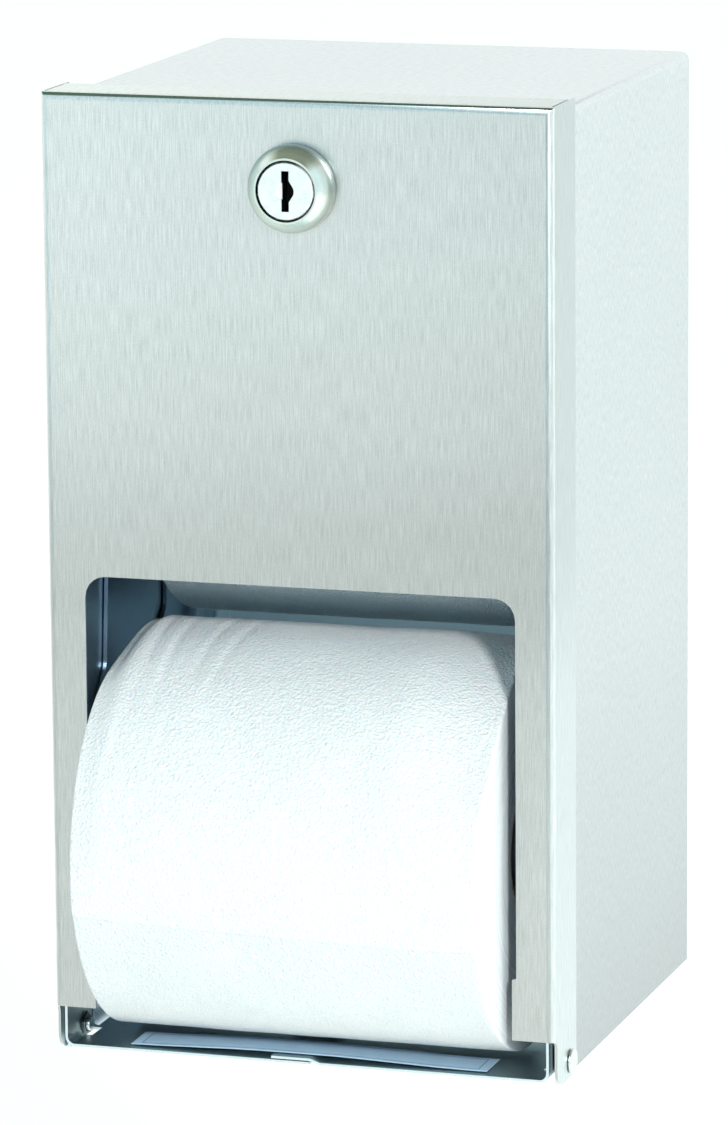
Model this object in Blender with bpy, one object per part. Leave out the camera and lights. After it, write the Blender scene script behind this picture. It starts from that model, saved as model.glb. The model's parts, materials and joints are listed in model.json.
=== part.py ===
"""Twin-roll toilet tissue dispenser with a reserve roll, in brushed stainless sheet.

Metres, Z up. The front faces -Y and the wall is the plane Y = 0. The origin is the middle of the wall face.
Pieces are laid out from the door's front face (y) and the cabinet's bottom edge (z), then set on named axes.
"""

import math

import bmesh
import bpy
from mathutils import Vector

# Sheet metal and clearances
SHEET = 0.0008
PLATE = 0.0012
BEND_RADIUS = 0.0024
FIT_GAP = 0.0003
CUT_OVERRUN = 0.002
ROUND_STEPS = 28
CORNER_STEPS = 5
BEND_STEPS = 4

# Door
DOOR_WIDTH = 0.154
DOOR_HEIGHT = 0.287
DOOR_FLANGE_DEPTH = 0.0232
DOOR_TOP_FLANGE_DEPTH = 0.020
DOOR_SEAM_WIDTH = 0.0004
DOOR_SEAM_BITE = 0.0001
DOOR_LEG_BOTTOM = 0.0145
DOOR_FOOT_FRONT = 0.0028
DOOR_FOOT_RADIUS = 0.0056
DOOR_LEG_CORNER_RADIUS = 0.0012
DOOR_LEG_WIDTH = 0.0116
OPENING_TOP = 0.1451
OPENING_CORNER_RADIUS = 0.0064
OPENING_STEP_HEIGHT = 0.0328
OPENING_STEP_WIDTH = 0.0013

# Cabinet
CABINET_DEPTH = 0.156
DOOR_SIDE_GAP = 0.0005
DOOR_TOP_GAP = 0.0015
CABINET_FRONT = 0.007
KEEPER_LIP_DEPTH = 0.0117
LIP_RELIEF_WIDTH = 0.003
MOUNT_HEIGHT = 0.142
BACK_FLANGE_DEPTH = 0.012
BACK_BEND_RADIUS = 0.0018
WALL_HOLE_RADIUS = 0.0034
WALL_HOLE_SIDE_INSET = 0.0262
WALL_HOLE_TOP_INSET = 0.0434
WALL_HOLE_BOTTOM_INSET = 0.0404

# Bottom brackets
BRACKET_FRONT = 0.002
BRACKET_EAR_REAR = 0.0235
BRACKET_FLOOR_REAR = 0.044
BRACKET_BOTTOM = 0.0018
BRACKET_EAR_TOP = 0.022
BRACKET_EAR_RADIUS = 0.005
BRACKET_BEND_RADIUS = 0.0028
LAP_START = 0.0014
LAP_LENGTH = 0.012
JOGGLE_LENGTH = 0.0031

# Sticker, left bare
STICKER_END_GAP = 0.022
STICKER_FRONT = 0.0050
STICKER_REAR = 0.0185
STICKER_THICKNESS = 0.0003
STICKER_STEPS = 14

# Door pivots
PIVOT_Y = 0.017
PIVOT_Z = 0.0048
PIVOT_HEAD_RADIUS = 0.0037
PIVOT_HEAD_THICKNESS = 0.0009
PIVOT_SHANK_RADIUS = 0.002
PUSH_NUT_RADIUS = 0.004
PUSH_NUT_THICKNESS = 0.0006
PUSH_NUT_POINTS = 5
PUSH_NUT_NOTCH_SHARE = 0.76
PIVOT_STUB = 0.0012
RELIEF_CLEARANCE = 0.0004
RELIEF_RUN = 0.0038
TAB_TOP = 0.0065

# Lock
LOCK_DROP = 0.0253
LOCK_PLUG_RADIUS = 0.0086
LOCK_FACE_RIM = 0.0014
LOCK_BEZEL_SLOPE = 0.0028
LOCK_BEZEL_RIM = 0.0016
LOCK_BEZEL_HEIGHT = 0.0080
LOCK_PLUG_HEAD_DEPTH = 0.006
LOCK_SHANK_STEP = 0.0028
LOCK_BARREL_WALL = 0.0008
LOCK_EDGE = 0.0005
KEYWAY_LENGTH = 0.0117
KEYWAY_WIDTH = 0.0022
KEYWAY_DEPTH = 0.005
KEYWAY_BULGE = 0.0013
KEYWAY_BULGE_HALF = 0.0031
KEYWAY_BULGE_TIP_HALF = 0.0010
KEYWAY_DIMPLE_RADIUS = 0.0026
KEYWAY_DIMPLE_DEPTH = 0.0008
LOCK_STEPS = 40
LOCK_DOME_STEPS = 6
LOCK_NUT_RIM = 0.0045
LOCK_NUT_THICKNESS = 0.003
CAM_LIP_GAP = 0.0012
CAM_TOP_GAP = 0.0027
CAM_HUB_RADIUS = 0.0075
CAM_TIP_RADIUS = 0.0042
CAM_THICKNESS = 0.0016
CAM_TAIL_HALF = 0.0028
CAM_SCREW_RADIUS = 0.0042
CAM_SCREW_THICKNESS = 0.002
CAM_SCREW_SLOT = 0.0010

# Paper, cores and spindles
ROLL_RADIUS = 0.0615
ROLL_SIDE_GAP = 0.016
ROLL_FLOOR_GAP = 0.0003
ROLL_REAR_GAP = 0.0037
ROLL_SPACING = 0.009
ROLL_EDGE = 0.0012
ROLL_STEPS = 64
CORE_RADIUS = 0.0213
CORE_WALL = 0.0008
JOURNAL_RADIUS = 0.0045
SPINDLE_BARREL_RADIUS = 0.0135
SPINDLE_BARREL_PROUD = 0.002
SPINDLE_SHOULDER_RADIUS = 0.008
SPINDLE_SHOULDER_LENGTH = 0.004
SPINDLE_RIB_COUNT = 6
SPINDLE_RIB_THICKNESS = 0.0026
SPINDLE_RIB_INSET = 0.003
SPINDLE_EDGE = 0.001
LOWER_AXIS_Y = 0.031

# Track plates
TRACK_BOTTOM = 0.002
TRACK_FOOT_GAP = 0.0004
TRACK_FOOT_LIFT = 0.002
TRACK_NOSE_LIFT = 0.006
TRACK_NOSE_WEB = 0.0067
TRACK_NOSE_RISE = 0.022
TRACK_WAIST_Y = 0.0399
TRACK_WAIST_Z = 0.109
TRACK_BROW_Y = 0.0423
TRACK_BROW_Z = 0.138
TRACK_TOP_FRONT = 0.052
TRACK_HEAD = 0.025
TRACK_REAR_GAP = 0.004
TRACK_HEEL_REACH = 0.017
TRACK_HEEL_RISE = 0.043
TRACK_CORNER_RADIUS = 0.006
SLOT_ENTRY_DROP = 0.021
SLOT_ENTRY_RISE = 0.013
SLOT_KNEE_RISE = 0.0535
SPINDLE_PRESS_TRAVEL = 0.020

# Release levers, links and latches
LEVER_PIVOT_BACK = 0.0465
LEVER_PIVOT_DROP = 0.0145
LEVER_TIP_FORWARD = 0.007
LEVER_ARM_WIDTH = 0.009
LEVER_TAIL_LENGTH = 0.032
LEVER_SWING_DEG = 26.0
ROCKER_HUB_SHARE = 0.75
LATCH_PIVOT_BACK = 0.023
LATCH_PIVOT_DROP = 0.008
LATCH_FINGER_OVERLAP = 0.005
LATCH_ARM_WIDTH = 0.007
LATCH_TAIL_LENGTH = 0.015
LATCH_SWING_DEG = 58.0
LINK_WIDTH = 0.008
LINK_SLOT_EXTRA = 0.0024
STUD_RADIUS = 0.0016
RIVET_SHANK_RADIUS = 0.0025
RIVET_HEAD_RADIUS = 0.0042
RIVET_HEAD_THICKNESS = 0.0012

# Sizes that follow from the ones above
FRONT_Y = -CABINET_DEPTH
DOOR_HALF = DOOR_WIDTH / 2
DOOR_INNER_HALF = DOOR_HALF - SHEET
CABINET_HALF = DOOR_INNER_HALF - DOOR_SIDE_GAP
CABINET_INNER_HALF = CABINET_HALF - SHEET
CABINET_HEIGHT = DOOR_HEIGHT - SHEET - DOOR_TOP_GAP
CABINET_INNER_HEIGHT = CABINET_HEIGHT - SHEET
OPENING_HALF = DOOR_HALF - DOOR_LEG_WIDTH
FOOT_HALF = OPENING_HALF - OPENING_STEP_WIDTH
WALL_HALF = CABINET_INNER_HALF - FIT_GAP
EAR_INNER = WALL_HALF - SHEET
TRACK_INNER = WALL_HALF - PLATE
LEVER_OUTER = TRACK_INNER - FIT_GAP
LEVER_INNER = LEVER_OUTER - PLATE
LINK_OUTER = LEVER_INNER - FIT_GAP
LINK_INNER = LINK_OUTER - PLATE
BRACKET_FLOOR_TOP = BRACKET_BOTTOM + SHEET
LAP_BOTTOM = BRACKET_FLOOR_TOP + FIT_GAP
LAP_TOP = LAP_BOTTOM + SHEET
HOLE_GAP = FIT_GAP
STICKER_HALF = DOOR_HALF - STICKER_END_GAP
LOCK_Z = DOOR_HEIGHT - LOCK_DROP
LOCK_FACE_RADIUS = LOCK_PLUG_RADIUS + LOCK_FACE_RIM
LOCK_BEZEL_RADIUS = LOCK_FACE_RADIUS + LOCK_BEZEL_SLOPE
LOCK_SHANK_RADIUS = LOCK_PLUG_RADIUS - LOCK_SHANK_STEP
LOCK_BARREL_RADIUS = LOCK_PLUG_RADIUS + LOCK_BARREL_WALL
LOCK_NUT_RADIUS = LOCK_BARREL_RADIUS + LOCK_NUT_RIM
LOCK_BARREL_REAR = CABINET_FRONT + SHEET + CAM_LIP_GAP - FIT_GAP
CAM_REACH = CABINET_INNER_HEIGHT - CAM_TOP_GAP - LOCK_Z
ROLL_WIDTH = DOOR_WIDTH - 2 * ROLL_SIDE_GAP
SPINDLE_BARREL_LENGTH = ROLL_WIDTH + 2 * SPINDLE_BARREL_PROUD
LOWER_AXIS_Z = LAP_TOP + ROLL_FLOOR_GAP + ROLL_RADIUS
UPPER_AXIS_Y = CABINET_DEPTH - SHEET - ROLL_REAR_GAP - ROLL_RADIUS
UPPER_AXIS_Z = LOWER_AXIS_Z + math.sqrt((2 * ROLL_RADIUS + ROLL_SPACING) ** 2 - (UPPER_AXIS_Y - LOWER_AXIS_Y) ** 2)
SLOT_RADIUS = JOURNAL_RADIUS + FIT_GAP
SLOT_MOUTH_Z = UPPER_AXIS_Z + SLOT_ENTRY_DROP + SLOT_ENTRY_RISE
SLOT_KNEE_Z = LOWER_AXIS_Z + SLOT_KNEE_RISE
LEVER_PIVOT = (LOWER_AXIS_Y + LEVER_PIVOT_BACK, LOWER_AXIS_Z - LEVER_PIVOT_DROP)
LATCH_PIVOT = (UPPER_AXIS_Y + LATCH_PIVOT_BACK, UPPER_AXIS_Z - LATCH_PIVOT_DROP)
LEVER_REST = -math.radians(LEVER_SWING_DEG) / 2
LATCH_REST = -math.radians(LATCH_SWING_DEG) / 2
LEVER_STUD = (
    LEVER_PIVOT[0] + LEVER_TAIL_LENGTH * math.cos(LEVER_REST),
    LEVER_PIVOT[1] + LEVER_TAIL_LENGTH * math.sin(LEVER_REST),
)
LATCH_STUD = (
    LATCH_PIVOT[0] + LATCH_TAIL_LENGTH * math.cos(LATCH_REST),
    LATCH_PIVOT[1] + LATCH_TAIL_LENGTH * math.sin(LATCH_REST),
)
TRACK_FOOT_FRONT = BRACKET_EAR_REAR + TRACK_FOOT_GAP
TRACK_FOOT_TOP = BRACKET_EAR_TOP + TRACK_FOOT_LIFT
TRACK_NOSE_FRONT = LOWER_AXIS_Y - SLOT_RADIUS - TRACK_NOSE_WEB
TRACK_NOSE_BOTTOM = BRACKET_EAR_TOP + TRACK_NOSE_LIFT
TRACK_NOSE_TOP = LOWER_AXIS_Z + TRACK_NOSE_RISE
TRACK_TOP = SLOT_MOUTH_Z + TRACK_HEAD
TRACK_REAR = CABINET_DEPTH - BACK_FLANGE_DEPTH - TRACK_REAR_GAP
TRACK_HEEL_Y = LEVER_PIVOT[0] + TRACK_HEEL_REACH
TRACK_HEEL_Z = LEVER_PIVOT[1] + TRACK_HEEL_RISE

# Colours as red, green, blue, then roughness and metallic
STEEL_DOOR = (0.66, 0.69, 0.67, 0.34, 1.0)
STEEL_CABINET = (0.70, 0.73, 0.72, 0.36, 1.0)
STEEL_INNER = (0.55, 0.57, 0.57, 0.42, 1.0)
STEEL_MECHANISM = (0.48, 0.50, 0.50, 0.45, 1.0)
CHROME = (0.80, 0.82, 0.82, 0.12, 1.0)
BRASS_PLUG = (0.72, 0.74, 0.73, 0.22, 1.0)
PAPER = (0.93, 0.94, 0.94, 0.95, 0.0)
CARDBOARD = (0.55, 0.44, 0.32, 0.9, 0.0)
PLASTIC = (0.20, 0.21, 0.22, 0.45, 0.0)
STICKER = (0.62, 0.74, 0.90, 0.5, 0.0)


# Scene and materials

def clear_scene():
    for item in list(bpy.data.objects):
        bpy.data.objects.remove(item, do_unlink=True)


def material(name, look):
    found = bpy.data.materials.get(name)
    if found:
        return found
    made = bpy.data.materials.new(name)
    made.use_nodes = True
    shader = made.node_tree.nodes["Principled BSDF"]
    shader.inputs["Base Color"].default_value = (*look[:3], 1)
    shader.inputs["Roughness"].default_value = look[3]
    shader.inputs["Metallic"].default_value = look[4]
    made.diffuse_color = (*look[:3], 1)
    return made


def axis_empty(name, place, parent=None):
    """An empty on a joint's axis, placed in cabinet coordinates under the frame or another axis."""
    empty = bpy.data.objects.new(name, None)
    bpy.context.scene.collection.objects.link(empty)
    empty["place"] = place
    home = Vector(parent["place"]) if parent else Vector((0, 0, 0))
    empty.parent = parent
    empty.location = Vector(place) - home
    return empty


def part(name, bm, axis, look):
    """Turn a bmesh drawn in cabinet coordinates into a named object on its axis."""
    bmesh.ops.recalc_face_normals(bm, faces=bm.faces)
    bmesh.ops.translate(bm, verts=bm.verts, vec=-Vector(axis["place"]))
    mesh = bpy.data.meshes.new(name)
    bm.to_mesh(mesh)
    bm.free()
    item = bpy.data.objects.new(name, mesh)
    bpy.context.scene.collection.objects.link(item)
    item.parent = axis
    item.data.materials.append(material(*look))
    mesh.shade_smooth()
    mesh.set_sharp_from_angle(angle=math.radians(30))
    return item


def cutter(name, bm, axis):
    item = part(name, bm, axis, ("cutter", STEEL_INNER))
    item.hide_render = True
    item.display_type = "WIRE"
    return item


def combine(target, other, operation="DIFFERENCE"):
    step = target.modifiers.new(other.name, "BOOLEAN")
    step.operation = operation
    step.solver = "EXACT"
    step.object = other


# Outlines in two coordinates

def arc(centre, radius, start, end, steps):
    """Points on an arc, both ends included."""
    return [
        (
            centre[0] + radius * math.cos(start + (end - start) * i / steps),
            centre[1] + radius * math.sin(start + (end - start) * i / steps),
        )
        for i in range(steps + 1)
    ]


def circle(centre, radius, steps=ROUND_STEPS):
    return arc(centre, radius, 0, math.tau, steps)[:-1]


def rounded(corners, steps=CORNER_STEPS):
    """A closed outline from (x, y, radius) corners, each filled by a tangent arc."""
    outline = []
    for i, (x, y, radius) in enumerate(corners):
        here = Vector((x, y))
        before = (Vector(corners[i - 1][:2]) - here).normalized()
        after = (Vector(corners[(i + 1) % len(corners)][:2]) - here).normalized()
        if radius <= 0:
            outline.append((x, y))
            continue
        half = before.angle(after) / 2
        reach = radius / math.tan(half)
        centre = here + (before + after).normalized() * (radius / math.sin(half))
        first = here + before * reach - centre
        turn = first.angle_signed(here + after * reach - centre)
        base = math.atan2(first.y, first.x)
        outline += arc(centre, radius, base, base - turn, steps)
    return outline


def stadium(start, end, radius, steps=CORNER_STEPS * 2):
    """A slot outline: two half circles joined by straight sides."""
    heading = math.atan2(end[1] - start[1], end[0] - start[0])
    quarter = math.pi / 2
    far = arc(end, radius, heading - quarter, heading + quarter, steps)
    near = arc(start, radius, heading + quarter, heading + 3 * quarter, steps)
    return far + near


# Solids in cabinet coordinates

def extruded(outline, normal, low, high):
    """Extrude an outline along X, Y or Z. The outline's two coordinates are the other axes in order."""
    bm = bmesh.new()
    order = {"X": lambda a, b: (low, a, b), "Y": lambda a, b: (a, low, b), "Z": lambda a, b: (a, b, low)}
    face = bm.faces.new([bm.verts.new(order[normal](a, b)) for a, b in outline])
    run = bmesh.ops.extrude_face_region(bm, geom=[face])
    raised = [v for v in run["geom"] if isinstance(v, bmesh.types.BMVert)]
    shift = {"X": (high - low, 0, 0), "Y": (0, high - low, 0), "Z": (0, 0, high - low)}
    bmesh.ops.translate(bm, verts=raised, vec=shift[normal])
    return bm


def box(low, high):
    bm = bmesh.new()
    bmesh.ops.create_cube(bm, size=1)
    size = [b - a for a, b in zip(low, high)]
    middle = [(a + b) / 2 for a, b in zip(low, high)]
    bmesh.ops.scale(bm, verts=bm.verts, vec=size)
    bmesh.ops.translate(bm, verts=bm.verts, vec=middle)
    return bm


def soften(bm, chosen, radius, steps=BEND_STEPS):
    """Round the edges that the test picks, as a sheet bend."""
    edges = [e for e in bm.edges if chosen((e.verts[0].co + e.verts[1].co) / 2)]
    bmesh.ops.bevel(
        bm, geom=edges, offset=radius, offset_type="OFFSET", segments=steps,
        profile=0.5, affect="EDGES", material=-1,
    )


def turned(profile, centre, direction, steps=ROUND_STEPS):
    """Revolve (along, radius) points about the X or Y axis line through centre."""
    bm = bmesh.new()
    verts = [bm.verts.new((along, 0, radius)) for along, radius in profile]
    edges = [bm.edges.new((verts[i], verts[(i + 1) % len(verts)])) for i in range(len(verts))]
    touching = [v for v, point in zip(verts, profile) if point[1] == 0]
    if touching:
        edges = [e for e in edges if not (e.verts[0] in touching and e.verts[1] in touching)]
        for edge in [e for e in bm.edges if e not in edges]:
            bm.edges.remove(edge)
    bmesh.ops.spin(
        bm, geom=bm.verts[:] + bm.edges[:], cent=(0, 0, 0), axis=(1, 0, 0),
        angle=math.tau, steps=steps, use_merge=True,
    )
    bmesh.ops.remove_doubles(bm, verts=bm.verts, dist=SHEET / 1000)
    if direction == "Y":
        for vert in bm.verts:
            vert.co = Vector((-vert.co.y, vert.co.x, vert.co.z))
    bmesh.ops.translate(bm, verts=bm.verts, vec=centre)
    return bm


def turned_rod(radius, low, high, place):
    return turned([(low, 0), (low, radius), (high, radius), (high, 0)], yz(place), "X")


def yz(point, x=0):
    """Cabinet coordinates of a (y, z) place measured from the door face and the bottom edge."""
    return (x, FRONT_Y + point[0], point[1])


def side_extruded(outline, side, inner, outer):
    """Extrude a (y, z) outline along X between two distances from the middle, on one side."""
    placed = [(FRONT_Y + y, z) for y, z in outline]
    low, high = sorted((side * inner, side * outer))
    return extruded(placed, "X", low, high)


def front_extruded(outline, near, far):
    """Extrude an (x, z) outline back from one depth behind the door face to another."""
    return extruded(outline, "Y", FRONT_Y + near, FRONT_Y + far)


# Door

def make_door(axis):
    rear = FRONT_Y + DOOR_FLANGE_DEPTH
    look = ("brushed_door", STEEL_DOOR)
    shell = box((-DOOR_HALF, FRONT_Y, 0), (DOOR_HALF, rear, DOOR_HEIGHT))
    soften(shell, lambda m: m.y < rear - DOOR_FLANGE_DEPTH / 2 - SHEET and m.z > 0, BEND_RADIUS)
    door = part("door_panel", shell, axis, look)

    # The cavity rises through the top at the rear, where the top flange stops short of the side flanges.
    behind = DOOR_FLANGE_DEPTH + CUT_OVERRUN
    cavity = side_extruded(
        [
            (SHEET, -CUT_OVERRUN), (SHEET, DOOR_HEIGHT - SHEET), (DOOR_TOP_FLANGE_DEPTH, DOOR_HEIGHT - SHEET),
            (DOOR_TOP_FLANGE_DEPTH, DOOR_HEIGHT + CUT_OVERRUN), (behind, DOOR_HEIGHT + CUT_OVERRUN),
            (behind, -CUT_OVERRUN),
        ],
        1, -DOOR_INNER_HALF, DOOR_INNER_HALF,
    )
    soften(cavity, lambda m: m.y < FRONT_Y + SHEET + SHEET and m.z > 0, BEND_RADIUS - SHEET)
    combine(door, cutter("cut_door_inside", cavity, axis))
    for side, word in ((-1, "left"), (1, "right")):
        low, high = sorted((side * (DOOR_INNER_HALF + DOOR_SEAM_BITE), side * (DOOR_INNER_HALF - DOOR_SEAM_WIDTH)))
        seam = box(
            (low, FRONT_Y + BEND_RADIUS, DOOR_HEIGHT - SHEET - DOOR_SEAM_WIDTH),
            (high, FRONT_Y + DOOR_TOP_FLANGE_DEPTH + SHEET, DOOR_HEIGHT + CUT_OVERRUN),
        )
        combine(door, cutter("cut_door_seam_" + word, seam, axis))
        hole = turned_pin(PIVOT_SHANK_RADIUS + HOLE_GAP, side, DOOR_INNER_HALF - CUT_OVERRUN, DOOR_HALF + CUT_OVERRUN)
        combine(door, cutter("cut_door_pivot_" + word, hole, axis))

    # The front sheet stops at the legs' feet, and the flanges run on down to a rounded corner.
    foot = [(-CUT_OVERRUN, DOOR_LEG_BOTTOM)]
    foot += arc((0, DOOR_LEG_BOTTOM - DOOR_FOOT_FRONT), DOOR_FOOT_FRONT, math.pi / 2, 0, CORNER_STEPS)
    toe = DOOR_FOOT_FRONT + DOOR_FOOT_RADIUS
    foot += arc((toe, DOOR_FOOT_RADIUS), DOOR_FOOT_RADIUS, math.pi, 1.5 * math.pi, CORNER_STEPS * 2)
    foot += [(toe, -CUT_OVERRUN), (-CUT_OVERRUN, -CUT_OVERRUN)]
    below = side_extruded(foot, 1, -DOOR_HALF - CUT_OVERRUN, DOOR_HALF + CUT_OVERRUN)
    combine(door, cutter("cut_door_feet", below, axis))

    combine(door, cutter("cut_door_opening", front_extruded(opening_outline(), -CUT_OVERRUN, SHEET + CUT_OVERRUN), axis))
    lock_hole = front_extruded(circle((0, LOCK_Z), LOCK_BARREL_RADIUS + HOLE_GAP), -CUT_OVERRUN, SHEET + CUT_OVERRUN)
    combine(door, cutter("cut_door_lock", lock_hole, axis))


def opening_outline():
    """The tall opening with its stepped feet, open at the bottom."""
    half = [
        (OPENING_HALF, OPENING_TOP, OPENING_CORNER_RADIUS),
        (OPENING_HALF, OPENING_STEP_HEIGHT, OPENING_STEP_WIDTH / 2),
        (FOOT_HALF, OPENING_STEP_HEIGHT, OPENING_STEP_WIDTH / 3),
        (FOOT_HALF, DOOR_LEG_BOTTOM, 0),
        (FOOT_HALF, -CUT_OVERRUN, 0),
    ]
    mirrored = [(-x, z, radius) for x, z, radius in reversed(half)]
    return rounded(half + mirrored)


def turned_pin(radius, side, inner, outer):
    """A plain pin on the door pivot's axis, for holes."""
    low, high = sorted((side * inner, side * outer))
    return turned_rod(radius, low, high, (PIVOT_Y, PIVOT_Z))


def make_pivots(frame):
    for side, word in ((-1, "left"), (1, "right")):
        end = EAR_INNER - FIT_GAP - PUSH_NUT_THICKNESS - PIVOT_STUB
        seat = DOOR_HALF + FIT_GAP
        face = seat + PIVOT_HEAD_THICKNESS
        edge = PIVOT_HEAD_THICKNESS / 3
        profile = [
            (end, 0), (end, PIVOT_SHANK_RADIUS), (seat, PIVOT_SHANK_RADIUS), (seat, PIVOT_HEAD_RADIUS),
            (face - edge, PIVOT_HEAD_RADIUS), (face, PIVOT_HEAD_RADIUS - edge), (face, 0),
        ]
        placed = [(side * along, radius) for along, radius in profile]
        rivet = turned(placed, yz((PIVOT_Y, PIVOT_Z)), "X")
        part("pivot_rivet_" + word, rivet, frame, ("chrome", CHROME))

        points = []
        for i in range(2 * PUSH_NUT_POINTS):
            reach = PUSH_NUT_RADIUS if i % 2 == 0 else PUSH_NUT_RADIUS * PUSH_NUT_NOTCH_SHARE
            angle = math.pi / 2 + math.pi * i / PUSH_NUT_POINTS
            points.append((PIVOT_Y + reach * math.cos(angle), PIVOT_Z + reach * math.sin(angle)))
        nut_outer = EAR_INNER - FIT_GAP
        star = side_extruded(points, side, nut_outer - PUSH_NUT_THICKNESS, nut_outer)
        nut = part("push_nut_" + word, star, frame, ("steel_mechanism", STEEL_MECHANISM))
        hole = turned_pin(PIVOT_SHANK_RADIUS + HOLE_GAP, side, end, DOOR_HALF)
        combine(nut, cutter("cut_push_nut_" + word, hole, frame))


# Cabinet

def make_cabinet(frame):
    front = FRONT_Y + CABINET_FRONT
    shell = box((-CABINET_HALF, front, 0), (CABINET_HALF, 0, CABINET_HEIGHT))
    def outer_bend(m):
        return m.z > CABINET_INNER_HEIGHT and (abs(m.x) > CABINET_INNER_HALF or m.y < front + SHEET)

    soften(shell, outer_bend, BEND_RADIUS)
    cabinet = part("cabinet_shell", shell, frame, ("brushed_cabinet", STEEL_CABINET))

    inside = box(
        (-CABINET_INNER_HALF, front + SHEET, -CUT_OVERRUN),
        (CABINET_INNER_HALF, CUT_OVERRUN, CABINET_INNER_HEIGHT),
    )

    def inner_bend(m):
        high = m.z > CABINET_INNER_HEIGHT - SHEET
        return high and (abs(m.x) > CABINET_INNER_HALF - SHEET or m.y < front + 2 * SHEET)

    soften(inside, inner_bend, BEND_RADIUS - SHEET)
    combine(cabinet, cutter("cut_cabinet_inside", inside, frame))

    # What is left of the front wall is the keeper lip that the lock's cam turns up behind.
    lip_bottom = CABINET_HEIGHT - KEEPER_LIP_DEPTH
    side_x = CABINET_INNER_HALF
    relief = side_x - LIP_RELIEF_WIDTH
    shoulder = CABINET_INNER_HEIGHT - BEND_RADIUS
    window = rounded([
        (side_x, -CUT_OVERRUN, 0), (side_x, shoulder, 0), (relief, shoulder, LIP_RELIEF_WIDTH / 4),
        (relief, lip_bottom, LIP_RELIEF_WIDTH / 2), (-relief, lip_bottom, LIP_RELIEF_WIDTH / 2),
        (-relief, shoulder, LIP_RELIEF_WIDTH / 4), (-side_x, shoulder, 0), (-side_x, -CUT_OVERRUN, 0),
    ])
    depth = CABINET_FRONT + SHEET
    opening = front_extruded(window, CABINET_FRONT - CUT_OVERRUN, depth + CUT_OVERRUN)
    combine(cabinet, cutter("cut_cabinet_front", opening, frame))
    for side, word in ((-1, "left"), (1, "right")):
        inner = CABINET_INNER_HALF - CUT_OVERRUN
        hole = turned_pin(PIVOT_SHANK_RADIUS + HOLE_GAP, side, inner, CABINET_HALF + CUT_OVERRUN)
        combine(cabinet, cutter("cut_cabinet_pivot_" + word, hole, frame))


def make_back(frame):
    low_z = FIT_GAP + SHEET
    high_z = CABINET_INNER_HEIGHT - FIT_GAP
    tray = box((-WALL_HALF, -BACK_FLANGE_DEPTH, low_z), (WALL_HALF, 0, high_z))
    soften(tray, lambda m: m.y > -SHEET, BACK_BEND_RADIUS)
    soften(tray, lambda m: abs(m.x) > WALL_HALF - SHEET and m.z > high_z - SHEET, BEND_RADIUS)
    back = part("back_plate", tray, frame, ("steel_inner", STEEL_INNER))
    inside = box(
        (-WALL_HALF + SHEET, -BACK_FLANGE_DEPTH - CUT_OVERRUN, low_z + SHEET),
        (WALL_HALF - SHEET, -SHEET, high_z - SHEET),
    )
    soften(inside, lambda m: m.y > -SHEET - SHEET, BACK_BEND_RADIUS - SHEET)
    soften(inside, lambda m: abs(m.x) > WALL_HALF - 2 * SHEET and m.z > high_z - 2 * SHEET, BEND_RADIUS - SHEET)
    combine(back, cutter("cut_back_inside", inside, frame))
    for i, side in enumerate((-1, 1)):
        for j, level in enumerate((WALL_HOLE_BOTTOM_INSET, DOOR_HEIGHT - WALL_HOLE_TOP_INSET)):
            centre = (side * (DOOR_HALF - WALL_HOLE_SIDE_INSET), level)
            hole = front_extruded(
                circle(centre, WALL_HOLE_RADIUS), CABINET_DEPTH - SHEET - CUT_OVERRUN, CABINET_DEPTH + CUT_OVERRUN
            )
            combine(back, cutter("cut_wall_hole_%d_%d" % (i, j), hole, frame))


# Bottom brackets and the bare sticker

def bracket_outline(side, floor_end):
    """The section of one bracket: ear, bend and floor strip, with the floor's end given as points."""
    outer, inner = WALL_HALF, EAR_INNER
    big = BRACKET_BEND_RADIUS
    small = BRACKET_BEND_RADIUS - SHEET
    section = [(outer, BRACKET_EAR_TOP, 0), (outer, BRACKET_BOTTOM, big)]
    section += [(x, z, 0) for x, z in floor_end]
    section += [(inner, BRACKET_FLOOR_TOP, small), (inner, BRACKET_EAR_TOP, 0)]
    return rounded([(side * x, z, radius) for x, z, radius in section])


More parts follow.
